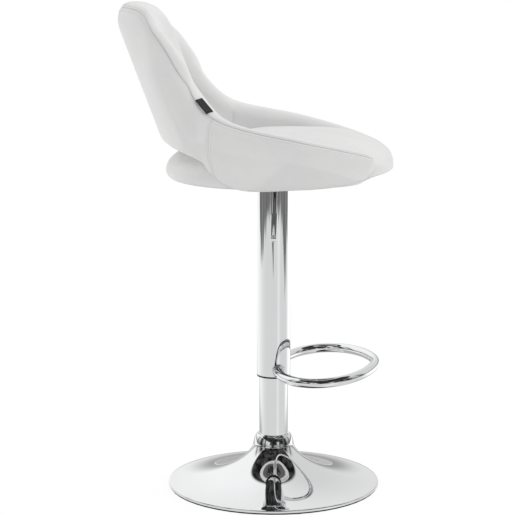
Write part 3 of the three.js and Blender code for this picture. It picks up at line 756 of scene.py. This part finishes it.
def grid_normal(grid, i, j, outward):
    a = grid_point(grid, i + 0.7, j) - grid_point(grid, i - 0.7, j)
    b = grid_point(grid, i, j + 0.7) - grid_point(grid, i, j - 0.7)
    n = np.cross(a, b)
    n /= max(np.linalg.norm(n), 1e-12)
    return n if n.dot(outward) > 0 else -n

STITCH, PITCH, THREAD_R = 3.2, 4.6, 0.38
STITCH_SPOTS = np.array([0, 0.18, 0.5, 0.82, 1])
STITCH_LIFT = np.array([-0.3, 0.12, 0.22, 0.12, -0.3]) * MM
STITCH_SIZE = np.array([0.35, 0.9, 1, 0.9, 0.35])


def stitches(name, lines, sides=6):
    """Sewn thread: a short rounded stitch at every pitch along each line of
    (point, normal) pairs, sitting half sunk in the leather."""
    points, faces = [], []
    for line in lines:
        path = np.array([p for p, _ in line])
        outs = np.array([n for _, n in line])
        reach = np.concatenate([[0], np.cumsum(np.linalg.norm(np.diff(path, axis=0), axis=1))])
        for start in np.arange(2 * MM, reach[-1] - STITCH * MM, PITCH * MM):
            spots = start + STITCH * MM * STITCH_SPOTS
            at = np.stack([np.interp(spots, reach, path[:, k]) for k in range(3)], -1)
            out = unit(np.stack([np.interp(spots, reach, outs[:, k]) for k in range(3)], -1))
            side = unit(np.cross(out, at[-1] - at[0]))
            base = len(points)
            for p, o, s, h, r in zip(at, out, side, STITCH_LIFT, STITCH_SIZE * THREAD_R * MM):
                for k in range(sides):
                    a = 2 * math.pi * k / sides
                    points.append(p + o * (h + r * math.sin(a)) + s * r * math.cos(a))
            for face in closed_stack(len(STITCH_SPOTS), sides):
                faces.append(tuple(base + k for k in face))
    attach(mesh_object(name, points, faces), "seat_unit", "leather")


def seam_line(grid, column):
    """Points and normals along one column of a grid, from one wing round to the other."""
    line = []
    for i, t in enumerate(STATIONS):
        if abs(t) > 0.985:
            continue
        p = grid_point(grid, i, column)
        outward = p - shell_point(t, 0.6, 0.5) * MM
        outward[2] *= 0.3
        line.append((p, grid_normal(grid, i, column, outward)))
    return line


def upright_lines(grid, first, shifts):
    """The same along rows of a grid, shifts in t from both upright seams."""
    lines = []
    for t in [side * (WING_SEAM + shift) for side in (-1, 1) for shift in shifts]:
        row = float(np.interp(t, STATIONS, np.arange(len(STATIONS))))
        line = []
        for j in np.arange(first, grid.shape[1] - 2, 0.5):
            p = grid_point(grid, row, j)
            outward = (p - shell_point(t, 0.5, 0.5) * MM) * np.array([1, 1, 0])
            line.append((p, grid_normal(grid, row, j, outward)))
        lines.append(line)
    return lines


STITCH_ASIDE = 0.0075
stitches("seam_thread_outer", [seam_line(PAD_GRID, 10.0), seam_line(COVER_GRID, 9.2)])
stitches("seam_thread_side", upright_lines(COVER_GRID, 11, (-STITCH_ASIDE, STITCH_ASIDE)))
stitches("seam_thread_lining", upright_lines(PAD_GRID, 33, (-STITCH_ASIDE,)))

TAG_FROM, TAG_TO, TAG_WIDTH = -0.588, -0.517, 14.0


def tag_patch(rows=25, columns=15):
    """The plain woven tag, sewn down beside the seam, with a raised hem round it."""

    def spot(t, above_seam):
        v = seam_v(t) + above_seam / measure(t)[0]
        return np.asarray(shell_point(t, v, 0, 0), float).reshape(3)

    start, stop = spot(TAG_FROM, 0.5), spot(TAG_TO, 0.5)
    along = unit(stop - start)
    across = spot((TAG_FROM + TAG_TO) / 2, 12.2) - (start + stop) / 2
    across = unit(across - along * (across @ along))
    face = unit(np.cross(along, across))
    face = face * np.sign(face @ np.array([0, -1.0, 0.3]))
    i = np.arange(rows)[:, None]
    j = np.arange(columns)[None, :]
    rim = np.minimum(np.minimum(i, rows - 1 - i) / 2.5, np.minimum(j, columns - 1 - j) / 1.6)
    bulge = 2.6 + 0.35 * np.exp(-((rim - 0.9) ** 2) * 3) - 0.5 * np.exp(-rim * 4)
    u = (i / (rows - 1) * np.linalg.norm(stop - start))[..., None]
    w = (j / (columns - 1) * TAG_WIDTH)[..., None]
    flat = start + along * u + across * w
    points = [(flat + face * (bulge + lift)[..., None]).reshape(-1, 3) for lift in (1.2, -1.6)]
    faces = []
    under = rows * columns
    for a in range(rows - 1):
        for b in range(columns - 1):
            near, far = a * columns + b, (a + 1) * columns + b
            quad = (near, near + 1, far + 1, far)
            faces += [quad, tuple(under + q for q in quad[::-1])]
    edge = list(range(columns)) + [a * columns + columns - 1 for a in range(1, rows)]
    edge += [(rows - 1) * columns + b for b in range(columns - 2, -1, -1)]
    edge += [a * columns for a in range(rows - 2, 0, -1)]
    for a, b in zip(edge, edge[1:] + edge[:1]):
        faces.append((a, b, under + b, under + a))
    return mesh_object("tag_patch", np.concatenate(points) * MM, faces, 50)


tag = attach(tag_patch(), "seat_unit", "cloth", "sewn_tag")

# ------------------------------------------------------------------ chrome

BASE_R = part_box("base_dish")[1].x / MM
NECK_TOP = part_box("base_dish")[1].z / MM
PIPE_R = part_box("column_pipe")[1].x / MM
PIPE_LOW, PIPE_TOP = (corner.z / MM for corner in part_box("column_pipe"))
SLEEVE_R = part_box("column_sleeve")[1].x / MM
SLEEVE_LOW, SLEEVE_TOP = (corner.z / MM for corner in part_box("column_sleeve"))
COLLAR_LOW, COLLAR_TOP = (corner.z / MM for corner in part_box("base_collar"))
SHEET = 2  # thickness of the dish
RING_HEIGHT = 20


def dish():
    """The trumpet-shaped base, from its rolled lip up to its neck."""
    flare = bezier((BASE_R - 1, 8), (120, 12), (52, 42), (38, NECK_TOP), 60)
    curve = np.array(flare)
    along = np.gradient(curve, axis=0)
    across = np.stack([-along[:, 1], along[:, 0]], 1) / np.linalg.norm(along, axis=1)[:, None]
    under = [tuple(p) for p in (curve + across * SHEET)[::-1]]
    lip = rounded([(BASE_R - 3, 3), (BASE_R, 3), (BASE_R, 6)], 0.9)[4:8]
    lip += bezier((BASE_R, 5.2), (BASE_R, 7.2), (BASE_R - 0.3, 8), (BASE_R - 1, 8), 5)[:-1]
    neck = [(PIPE_R + 0.4, NECK_TOP), (PIPE_R + 0.4, NECK_TOP - 2)]
    profile = [(BASE_R - 3, 3)] + lip + flare + neck + under
    return lathe("chrome_dish", profile, 200)


def collar():
    """The bell-shaped collar over the neck."""
    inside = PIPE_R + 0.3
    bulge = bezier((38.4, COLLAR_LOW + 1.6), (37.4, 88), (34.5, 98), (30.4, COLLAR_TOP), 14)
    lip = [(inside, COLLAR_LOW), (37.6, COLLAR_LOW), (38.4, COLLAR_LOW + 0.5),
           (38.6, COLLAR_LOW + 1)]
    crown = [(29.6, COLLAR_TOP - 0.1), (28.4, COLLAR_TOP - 0.6), (inside, COLLAR_TOP - 1.2)]
    return lathe("chrome_collar", lip + bulge + crown)


def straight_tube(name, radius, wall, low, top):
    inside = radius - wall
    return lathe(name, rounded([(inside, low), (radius, low), (radius, top), (inside, top)], 0.5))


def end_ring():
    """The plastic ring in the sleeve's lower end, with a flange under it."""
    inside, outside = PIPE_R + 0.35, SLEEVE_R - 1.8
    low, step, top = SLEEVE_LOW - 3, SLEEVE_LOW - 0.3, SLEEVE_LOW + RING_HEIGHT
    wall = rounded([(inside, low), (SLEEVE_R, low), (SLEEVE_R, step), (outside, step),
                    (outside, top), (inside, top)], 0.6)
    return lathe("sleeve_end_ring", wall, 96)


attach(dish(), "base", "chrome", "base_dish")
attach(collar(), "base", "chrome", "base_collar")
attach(straight_tube("chrome_pipe", PIPE_R, 1.75, PIPE_LOW, PIPE_TOP),
       "base", "chrome", "column_pipe")
attach(straight_tube("chrome_sleeve", SLEEVE_R, 1.5, SLEEVE_LOW, SLEEVE_TOP),
       "seat_unit", "chrome", "column_sleeve")
attach(end_ring(), "seat_unit", "plastic", "sleeve_guide_ring")

LOOP_X, LOOP_Z, LOOP_RISE, LOOP_R = 10, 227, 0.07, 9
LOOP_HALF = [(LOOP_X - 1, 24), (14, 62), (24, 92), (50, 128), (88, 145), (128, 134), (162, 98),
             (184, 48)]
LOOP_FRONT = (192, 0)


def loop_points():
    """The footrest's centre line from the sleeve's left side round to its right side."""
    plan = LOOP_HALF + [LOOP_FRONT] + [(x, -y) for x, y in LOOP_HALF[::-1]]
    return [np.array((x, y, LOOP_Z + LOOP_RISE * (x - LOOP_X)), float) for x, y in plan]


def centripetal(points, per_span):
    """A centripetal Catmull-Rom curve through the points."""
    ends = [2 * points[0] - points[1]] + points + [2 * points[-1] - points[-2]]
    out = []
    for i in range(1, len(ends) - 2):
        p0, p1, p2, p3 = ends[i - 1 : i + 3]
        d0, d1, d2 = (math.sqrt(np.linalg.norm(b - a)) for a, b in ((p0, p1), (p1, p2), (p2, p3)))
        m1 = ((p1 - p0) / d0 - (p2 - p0) / (d0 + d1) + (p2 - p1) / d1) * d1
        m2 = ((p2 - p1) / d1 - (p3 - p1) / (d1 + d2) + (p3 - p2) / d2) * d1
        for u in np.linspace(0, 1, per_span, endpoint=False):
            out.append(
                p1 * (1 + 2 * u) * (1 - u) ** 2 + m1 * u * (1 - u) ** 2
                + p2 * u * u * (3 - 2 * u) + m2 * u * u * (u - 1))
    out.append(points[-1])
    return np.array(out)


def footrest():
    """The bent tube, with its ends cut to the sleeve's round."""
    loop = tube("chrome_footrest", centripetal(loop_points(), 12) * MM, LOOP_R * MM, 36)
    room = SLEEVE_R + 0.2
    column = lathe("column_room", [(0, 150), (room, 150), (room, 300), (0, 300)])
    apply_boolean(loop, column)
    loop.data.set_sharp_from_angle(angle=math.radians(40))
    return loop


def weld_bead(name, side, turns=132, around=10):
    """The rippled bead that joins one end of the tube to the sleeve."""
    points = []
    through = LOOP_R + 1.2
    aside = np.array((0, side, 0))
    for i in range(turns):
        a = 2 * math.pi * i / turns
        x, z = LOOP_X + through * math.cos(a), LOOP_Z + through * math.sin(a)
        centre = np.array((x, side * math.sqrt((SLEEVE_R + 0.4) ** 2 - x * x), z))
        outward = np.array((math.cos(a), 0, math.sin(a)))
        ripple = 2.1 + 0.28 * abs(math.sin(11 * a)) + 0.12 * math.sin(5 * a + 1)
        for k in range(around):
            b = 2 * math.pi * k / around
            points.append((centre + ripple * (math.cos(b) * outward + math.sin(b) * aside)) * MM)
    return mesh_object(name, points, belts(turns, around, joined=True))


attach(footrest(), "seat_unit", "chrome", "footrest_ring")
attach(weld_bead("weld_left", 1), "seat_unit", "chrome", "footrest_weld_left")
attach(weld_bead("weld_right", -1), "seat_unit", "chrome", "footrest_weld_right")

LEVER_DROP = math.radians(32)
BEND = np.array((4, -38, 597.0))
BEND_REACH = 8
LEVER_LENGTH, GRIP_LENGTH, GRIP_R, LEVER_R = 180, 70, 6, 4
DOWN = np.array((0, -math.cos(LEVER_DROP), -math.sin(LEVER_DROP)))


def lever():
    """The rod from its housing round the bend and down into the grip."""
    start = BEND + np.array((0, 40, 0))
    turn_in, turn_out = BEND + np.array((0, BEND_REACH, 0)), BEND + DOWN * BEND_REACH
    end = BEND + DOWN * (LEVER_LENGTH - GRIP_LENGTH / 2)
    path = [start + (turn_in - start) * u for u in np.linspace(0, 1, 8)[:-1]]
    path += [turn_in * (1 - u) ** 2 + 2 * BEND * u * (1 - u) + turn_out * u * u
             for u in np.linspace(0, 1, 14)]
    path += [turn_out + (end - turn_out) * u for u in np.linspace(0, 1, 14)[1:]]
    return tube("chrome_lever", np.array(path) * MM, LEVER_R * MM, 28, 40)


def grip():
    """The lever's handle: a slim sleeve with a fine groove before its domed end."""
    profile = [(0, 0), (LEVER_R + 0.3, 0), (GRIP_R - 1, 0), (GRIP_R - 0.3, 0.3), (GRIP_R, 1.0)]
    for inward, back in ((0, 8.4), (0.25, 8), (0.9, 7.7), (0.9, 6.9), (0.2, 6.6), (0, 6.1)):
        profile.append((GRIP_R - inward, GRIP_LENGTH - back))
    for a in np.linspace(0, math.pi / 2, 12):
        profile.append((GRIP_R * math.cos(a), GRIP_LENGTH - 3.6 + 3.6 * math.sin(a)))
    profile[-1] = (0, GRIP_LENGTH)
    piece = lathe("chrome_grip", profile, 48, 40)
    start = BEND + DOWN * (LEVER_LENGTH - GRIP_LENGTH)
    turn = Vector(DOWN).to_track_quat("Z", "X").to_matrix().to_4x4()
    piece.data.transform(Matrix.Translation(Vector(start * MM)) @ turn)
    return piece

attach(lever(), "lever", "chrome", "lever_rod")
attach(grip(), "lever", "chrome", "lever_grip")

# ------------------------------------------------------------------ materials

FACTOR, COLOR_A, COLOR_B, COLOR_OUT = 0, 6, 7, 2  # sockets of a colour mix
BSDF_INPUTS = {"color": "Base Color", "roughness": "Roughness", "metallic": "Metallic",
               "coat": "Coat Weight", "coat_roughness": "Coat Roughness",
               "sheen": "Sheen Weight", "specular": "Specular IOR Level"}


class Shader:
    """A material's node tree, with short calls for the nodes used here."""

    def __init__(self, name):
        self.material = bpy.data.materials.new(name)
        self.material.use_nodes = True
        self.tree = self.material.node_tree
        self.bsdf = self.tree.nodes["Principled BSDF"]
        self.place = self.node("ShaderNodeTexCoord").outputs["Object"]

    def node(self, kind, **values):
        made = self.tree.nodes.new(kind)
        for key, value in values.items():
            setattr(made, key, value)
        return made

    def link(self, source, target):
        self.tree.links.new(source, target)

    def put(self, target, value):
        if isinstance(value, bpy.types.NodeSocket):
            self.link(value, target)
        else:
            target.default_value = value

    def noise(self, scale, detail=3.0, stretch=None, roughness=0.55):
        made = self.node("ShaderNodeTexNoise")
        made.inputs["Scale"].default_value = scale
        made.inputs["Detail"].default_value = detail
        made.inputs["Roughness"].default_value = roughness
        place = self.place
        if stretch:
            mapping = self.node("ShaderNodeMapping")
            mapping.inputs["Scale"].default_value = stretch
            self.link(self.place, mapping.inputs["Vector"])
            place = mapping.outputs["Vector"]
        self.link(place, made.inputs["Vector"])
        return made.outputs["Fac"]

    def cells(self, scale, feature="F1"):
        made = self.node("ShaderNodeTexVoronoi", feature=feature)
        made.inputs["Scale"].default_value = scale
        self.link(self.place, made.inputs["Vector"])
        return made.outputs["Distance"]

    def waves(self, scale, axis, distortion=0.0):
        made = self.node("ShaderNodeTexWave", bands_direction=axis)
        made.inputs["Scale"].default_value = scale
        made.inputs["Distortion"].default_value = distortion
        made.inputs["Detail Scale"].default_value = 2.0
        self.link(self.place, made.inputs["Vector"])
        return made.outputs["Fac"]

    def span(self, value, low, high, from_low=0.0, from_high=1.0, kind="LINEAR"):
        """The value carried over from one range to another."""
        made = self.node("ShaderNodeMapRange", interpolation_type=kind)
        made.inputs["From Min"].default_value = from_low
        made.inputs["From Max"].default_value = from_high
        made.inputs["To Min"].default_value = low
        made.inputs["To Max"].default_value = high
        self.link(value, made.inputs["Value"])
        return made.outputs["Result"]

    def ramp(self, value, low, high, from_low, from_high):
        """The same with soft ends."""
        return self.span(value, low, high, from_low, from_high, "SMOOTHSTEP")

    def math(self, operation, a, b=0.0):
        made = self.node("ShaderNodeMath", operation=operation)
        self.put(made.inputs[0], a)
        self.put(made.inputs[1], b)
        return made.outputs[0]

    def add(self, first, *rest):
        for value in rest:
            first = self.math("ADD", first, value)
        return first

    def times(self, first, *rest):
        for value in rest:
            first = self.math("MULTIPLY", first, value)
        return first

    def less(self, a, b):
        return self.math("SUBTRACT", a, b)

    def mix(self, factor, a, b):
        made = self.node("ShaderNodeMix", data_type="RGBA")
        self.put(made.inputs[FACTOR], factor)
        self.put(made.inputs[COLOR_A], a)
        self.put(made.inputs[COLOR_B], b)
        return made.outputs[COLOR_OUT]

    def bump(self, heights):
        """Chained bumps from (height, strength, distance in metres)."""
        normal = None
        for height, strength, distance in heights:
            made = self.node("ShaderNodeBump")
            made.inputs["Strength"].default_value = strength
            made.inputs["Distance"].default_value = distance
            self.link(height, made.inputs["Height"])
            if normal is not None:
                self.link(normal, made.inputs["Normal"])
            normal = made.outputs["Normal"]
        self.link(normal, self.bsdf.inputs["Normal"])

    def set(self, **values):
        for key, value in values.items():
            self.put(self.bsdf.inputs[BSDF_INPUTS[key]], value)


def rgb(*tone):
    """A colour from red, green and blue, or a grey from one number."""
    return (*(tone if len(tone) == 3 else tone * 3), 1.0)


def leather():
    s = Shader("leather_pale")
    crease_shade = s.node("ShaderNodeAttribute", attribute_name="crease_shade").outputs["Fac"]
    tint = s.mix(s.span(s.noise(9, 4), 0, 1, 0.35, 0.65), rgb(0.775), rgb(0.815, 0.812, 0.805))
    worn = s.mix(s.span(s.noise(55, 3), 0, 0.22, 0.4, 0.75), tint, rgb(0.74, 0.738, 0.735))
    # Painted shade: the leather is mixed toward grey where it sinks into the seams' creases.
    s.set(color=s.mix(s.times(crease_shade, 0.22), worn, rgb(0.5)))
    s.set(roughness=s.span(s.noise(140, 3), 0.40, 0.56), specular=0.42)
    folds, pebbles, pores = s.noise(38, 2), s.cells(900, "SMOOTH_F1"), s.noise(2600, 2)
    s.bump([(folds, 0.12, 0.0012), (pebbles, 0.30, 0.00018), (pores, 0.18, 0.00008)])
    return s.material


def thread():
    s = Shader("thread_pale")
    twist = s.waves(1500, "DIAGONAL")
    s.set(color=s.mix(twist, rgb(0.60), rgb(0.74, 0.74, 0.735)), roughness=0.75)
    s.bump([(twist, 0.4, 0.00008)])
    return s.material


def chrome():
    s = Shader("chrome_plate")
    smudge = s.noise(14, 4)
    haze = s.span(smudge, 0.015, 0.06, 0.35, 0.75)
    hairlines = s.noise(420, 2, stretch=(1, 1, 0.05))
    s.set(metallic=1.0, color=s.mix(smudge, rgb(0.90, 0.905, 0.91), rgb(0.86, 0.865, 0.875)))
    s.set(roughness=s.add(haze, s.span(hairlines, 0.0, 0.012, 0.45, 0.8)))
    s.bump([(s.noise(6, 2), 0.02, 0.002)])
    return s.material


def steel(name, dark, light, rough, scale=60):
    s = Shader(name)
    patch = s.noise(scale, 5)
    lines = s.noise(300, 3, stretch=(1, 1, 0.08))
    s.set(metallic=1.0, color=s.mix(s.span(patch, 0, 1, 0.3, 0.7), dark, light))
    s.set(roughness=s.span(s.times(patch, lines), rough, rough + 0.22, 0.1, 0.5))
    s.bump([(lines, 0.12, 0.0001)])
    return s.material


def powder_coat():
    s = Shader("powder_coat_black")
    orange_peel = s.noise(700, 2)
    wear = s.span(s.noise(40, 6), 0, 0.35, 0.62, 0.8)
    s.set(color=s.mix(wear, rgb(0.018, 0.018, 0.019), rgb(0.06, 0.06, 0.062)))
    s.set(roughness=s.span(orange_peel, 0.38, 0.55), coat=0.15, coat_roughness=0.3)
    s.bump([(orange_peel, 0.25, 0.00015)])
    return s.material


def cast_iron():
    s = Shader("iron_cast")
    sand = s.noise(500, 6, roughness=0.7)
    rust = s.span(s.noise(30, 5), 0, 0.3, 0.55, 0.75)
    s.set(metallic=0.75, color=s.mix(rust, rgb(0.06, 0.06, 0.062), rgb(0.11, 0.06, 0.04)))
    s.set(roughness=s.span(sand, 0.6, 0.85))
    s.bump([(sand, 0.7, 0.0006)])
    return s.material


def plastic():
    s = Shader("plastic_black")
    grain = s.cells(1400)
    s.set(color=s.mix(s.noise(30, 3), rgb(0.013, 0.013, 0.014), rgb(0.024, 0.024, 0.025)))
    s.set(roughness=s.span(grain, 0.42, 0.6), specular=0.4)
    s.bump([(grain, 0.25, 0.00012)])
    return s.material


def rubber():
    s = Shader("rubber_black")
    dust = s.span(s.noise(90, 5), 0, 0.4, 0.5, 0.8)
    s.set(color=s.mix(dust, rgb(0.012), rgb(0.05)))
    s.set(roughness=s.span(s.noise(400, 3), 0.7, 0.9))
    s.bump([(s.noise(900, 3), 0.3, 0.0002)])
    return s.material


def plywood():
    s = Shader("plywood_raw")
    grain = s.waves(26, "X", distortion=7.0)
    fibre = s.noise(220, 5, stretch=(1, 0.06, 1))
    base = s.mix(s.span(grain, 0, 0.7), rgb(0.52, 0.36, 0.20), rgb(0.36, 0.23, 0.115))
    s.set(color=s.mix(s.span(fibre, 0, 0.5, 0.4, 0.8), base, rgb(0.62, 0.47, 0.30)))
    s.set(roughness=s.span(fibre, 0.6, 0.8))
    s.bump([(fibre, 0.35, 0.0003)])
    return s.material


def woven_cloth(name, scale, dark, light):
    s = Shader(name)
    weave = s.math("MAXIMUM", s.waves(scale, "X"), s.waves(scale, "Y"))
    s.set(color=s.mix(weave, dark, light), roughness=0.9, sheen=0.25)
    s.bump([(weave, 0.5, 0.0003), (s.noise(1200, 3), 0.3, 0.0001)])
    return s.material


CLOTH_TONES = (rgb(0.006, 0.006, 0.007), rgb(0.03, 0.03, 0.032))


def tag_cloth():
    s = Shader("tag_woven")
    weave = s.math("MAXIMUM", s.waves(900, "Z"), s.waves(900, "X"))
    s.set(color=s.mix(weave, *CLOTH_TONES), roughness=0.8, sheen=0.2)
    s.bump([(weave, 0.5, 0.0002)])
    return s.material


THREAD = thread()
BY_SLOT = {
    "chrome": chrome(),
    "steel": steel("steel_bare", rgb(0.42, 0.43, 0.44), rgb(0.56, 0.57, 0.58), 0.3),
    "zinc": steel("zinc_plate", rgb(0.58, 0.59, 0.57), rgb(0.70, 0.71, 0.66), 0.24, 120),
    "black_steel": powder_coat(),
    "iron": cast_iron(),
    "plastic": plastic(),
    "rubber": rubber(),
    "wood": plywood(),
    "leather": leather(),
    "cloth": woven_cloth("cloth_black", 500, *CLOTH_TONES),
    "lining": woven_cloth("cloth_lining", 700, rgb(0.10), rgb(0.17)),
}
slot_of_node = {s["node"]: s["material_slot"] for s in frame["record"]["subparts"]}


def paint(piece, material):
    piece.data.materials.clear()
    piece.data.materials.append(material)


for name, node in NODES.items():
    for index in range(len(node.material_slots)):
        node.material_slots[index].material = BY_SLOT[slot_of_node[name]]
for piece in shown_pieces():
    if "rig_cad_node" in piece:
        continue
    if piece.name.startswith("seam_thread"):
        paint(piece, THREAD)
    elif piece is tag:
        paint(piece, tag_cloth())
    else:
        paint(piece, BY_SLOT[piece["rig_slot"]])

# ------------------------------------------------------------------ floor, world and lights


class Graph(Shader):
    """The same short calls for a tree that has no surface shader of its own."""

    def __init__(self, tree, place):
        self.tree = tree
        self.place = self.node("ShaderNodeTexCoord").outputs[place]


def split(graph):
    made = graph.node("ShaderNodeSeparateXYZ")
    graph.link(graph.place, made.inputs[0])
    return made.outputs


def toward(graph, elevation, outer, inner):
    """1 inside a cone of directions on the camera's side and 0 outside it."""
    e = math.radians(elevation)
    aim = graph.node("ShaderNodeVectorMath", operation="DOT_PRODUCT")
    aim.inputs[1].default_value = (0, -math.cos(e), math.sin(e))
    graph.link(graph.place, aim.inputs[0])
    outer, inner = math.cos(math.radians(outer)), math.cos(math.radians(inner))
    return graph.ramp(aim.outputs["Value"], 0.0, 1.0, outer, inner)


def bearing(graph, x, y):
    """Angle round the column in radians, 0 on the camera's side and positive toward +X."""
    return graph.math("ARCTAN2", x, graph.times(y, -1.0))


def bell(graph, angle, centre, width, height):
    """A smooth hump of the given height at a bearing, both angles in degrees."""
    away = graph.less(angle, math.radians(centre))
    away = graph.math("DIVIDE", away, math.radians(width))
    return graph.times(graph.math("EXPONENT", graph.times(away, away, -1.0)), height)


def bells(graph, angle, humps):
    return graph.add(*[bell(graph, angle, *hump) for hump in humps])


def choose(graph, test, no, yes):
    made = graph.node("ShaderNodeMixShader")
    for source, socket in zip((test, no, yes), made.inputs):
        graph.link(source, socket)
    return made.outputs[0]


# Bearing, width and strength: gaps in the walls, panels that stand before the dark front, and
# bites out of the lit floor.
WALL_GAPS = ((-74, 17, 1.0), (-48, 6, 0.8), (-3, 10, 1.0), (74, 17, 1.0), (38, 4, 0.6),
             (-104, 6, 0.7), (106, 6, 0.7))
FRONT_PANELS = ((-26, 6, 1.0), (29, 7, 1.0))
FLOOR_BITES = ((-86, 19, 1.05), (-57, 6, 0.35), (-4, 12, 0.95), (84, 19, 1.3))


def studio_world():
    """White surroundings for the camera, soft pale light for rough surfaces, and for shiny ones
    a pale studio whose ceiling and front are dark and whose walls have dark gaps."""
    world = bpy.data.worlds.new("studio")
    scene.world = world
    world.use_nodes = True
    world.node_tree.nodes.clear()
    g = Graph(world.node_tree, "Generated")
    path = g.node("ShaderNodeLightPath").outputs
    x, y, z = split(g)
    soft = g.add(g.span(y, 0.63, 1.08, -0.8, 0.5), g.span(z, -0.02, 0.20, -0.1, 1.0),
                 g.span(x, 0.0, 0.66, 0.05, 1.0), g.span(x, 0.06, 0.0, -1.0, -0.1))
    angle = bearing(g, x, y)
    gaps = g.times(bells(g, angle, WALL_GAPS), g.ramp(z, 1.0, 0.0, 0.45, 0.7))
    walls = g.times(g.ramp(x, 0.98, 0.70, -0.3, 0.3), g.ramp(z, 0.44, 1.0, 0.02, 0.24),
                    g.less(1.02, g.math("MINIMUM", gaps, 1.0)))
    panels = g.times(g.math("MINIMUM", bells(g, angle, FRONT_PANELS), 1.0),
                     g.ramp(z, 1.0, 0.0, 0.3, 0.5))
    away = g.math("ABSOLUTE", g.less(angle, 0.25))
    front = g.times(g.ramp(z, 0.0, 1.0, 0.07, 0.16), g.ramp(away, 1.0, 0.0, 0.75, 0.95),
                    g.less(1.0, panels))
    dark = g.math("MAXIMUM", toward(g, elevation=68, outer=54, inner=50), front)
    dim = g.span(g.noise(4.5, 4), 0.008, 0.09, 0.42, 0.7)
    glossy, diffuse, seen = (g.node("ShaderNodeBackground") for _ in range(3))
    g.link(g.mix(dark, walls, dim), glossy.inputs["Color"])
    g.link(soft, diffuse.inputs["Strength"])
    unseen = choose(g, path["Is Diffuse Ray"], glossy.outputs[0], diffuse.outputs[0])
    out = g.node("ShaderNodeOutputWorld")
    g.link(choose(g, path["Is Camera Ray"], unseen, seen.outputs[0]), out.inputs["Surface"])


FLOOR_SIZE = 30
FLOOR_EDGE = 3.45
FLOOR_GLOW = 0.92  # what the camera and rough surfaces see
FLOOR_LIT = 0.64  # what shiny surfaces see


def floor():
    """A pale floor that glows softly, with the dark beyond its edge that chrome picks up."""
    corners = [(-1, -1, 0), (1, -1, 0), (1, 1, 0), (-1, 1, 0)]
    plane = mesh_object("floor", np.array(corners) * FLOOR_SIZE, [(0, 1, 2, 3)])
    plane.location.z = -0.0002
    s = Shader("floor_pale")
    s.tree.nodes.remove(s.bsdf)
    path = s.node("ShaderNodeLightPath").outputs
    x, y, _ = split(s)
    reach = s.math("SQRT", s.add(s.times(x, x), s.times(y, y)))
    angle = bearing(s, x, y)
    spokes = s.node("ShaderNodeTexNoise", noise_dimensions="1D")
    spokes.inputs["Scale"].default_value = 9.0
    spokes.inputs["Detail"].default_value = 4.0
    s.link(angle, spokes.inputs["W"])
    spokes = spokes.outputs["Fac"]
    edge = s.add(FLOOR_EDGE, s.span(spokes, -0.35, 0.35, 0.35, 0.65))
    for bite in FLOOR_BITES:
        edge = s.less(edge, bell(s, angle, *bite))
    edge = s.add(edge, s.ramp(s.math("ABSOLUTE", angle), 0.0, 40.0, 1.92, 2.15))
    fade = s.ramp(s.less(reach, edge), 0.0, 1.0, -0.08, 0.2)
    lit = s.add(FLOOR_LIT, bell(s, angle, 35, 9, 0.14), s.ramp(angle, 0.0, 0.45, 1.6, 2.2),
                s.ramp(s.times(angle, -1.0), 0.0, 0.32, 0.8, 2.6))
    unlit = s.span(spokes, 0.02, 0.26, 0.42, 0.68)
    glow = s.add(s.times(lit, s.less(1.0, fade)), s.times(unlit, fade))
    aside = s.times(0.60, s.ramp(y, 0.0, 1.0, 0.0, 0.16),
                    s.ramp(s.math("ABSOLUTE", x), 1.0, 0.0, 0.25, 0.6))
    mirrored_glow = s.times(glow, s.less(1.0, aside), path["Is Glossy Ray"])
    plain = s.add(s.times(path["Is Camera Ray"], FLOOR_GLOW),
                  s.times(path["Is Diffuse Ray"], FLOOR_GLOW))
    emission = s.node("ShaderNodeEmission")
    s.link(s.add(mirrored_glow, plain), emission.inputs["Strength"])
    matt = s.node("ShaderNodeBsdfDiffuse")
    matt.inputs["Color"].default_value = rgb(0.09)
    both = s.node("ShaderNodeAddShader")
    s.link(emission.outputs[0], both.inputs[0])
    s.link(matt.outputs[0], both.inputs[1])
    s.link(both.outputs[0], s.tree.nodes["Material Output"].inputs["Surface"])
    paint(plane, s.material)


def softbox(name, place, aim, size, power):
    light = bpy.data.lights.new(name, "AREA")
    light.shape = "RECTANGLE"
    light.size, light.size_y = size
    light.energy = power
    lamp = bpy.data.objects.new(name, light)
    lamp.location = place
    lamp.rotation_euler = (Vector(aim) - Vector(place)).to_track_quat("-Z", "Y").to_euler()
    lamp.visible_glossy = False
    scene.collection.objects.link(lamp)


studio_world()
floor()
softbox("softbox_top", (1.2, 0.3, 3.2), (0, 0, 0.5), (2.2, 1.6), 9)
softbox("softbox_left", (-2.8, 0.6, 1.8), (0, 0, 0.6), (1.4, 2.0), 8)
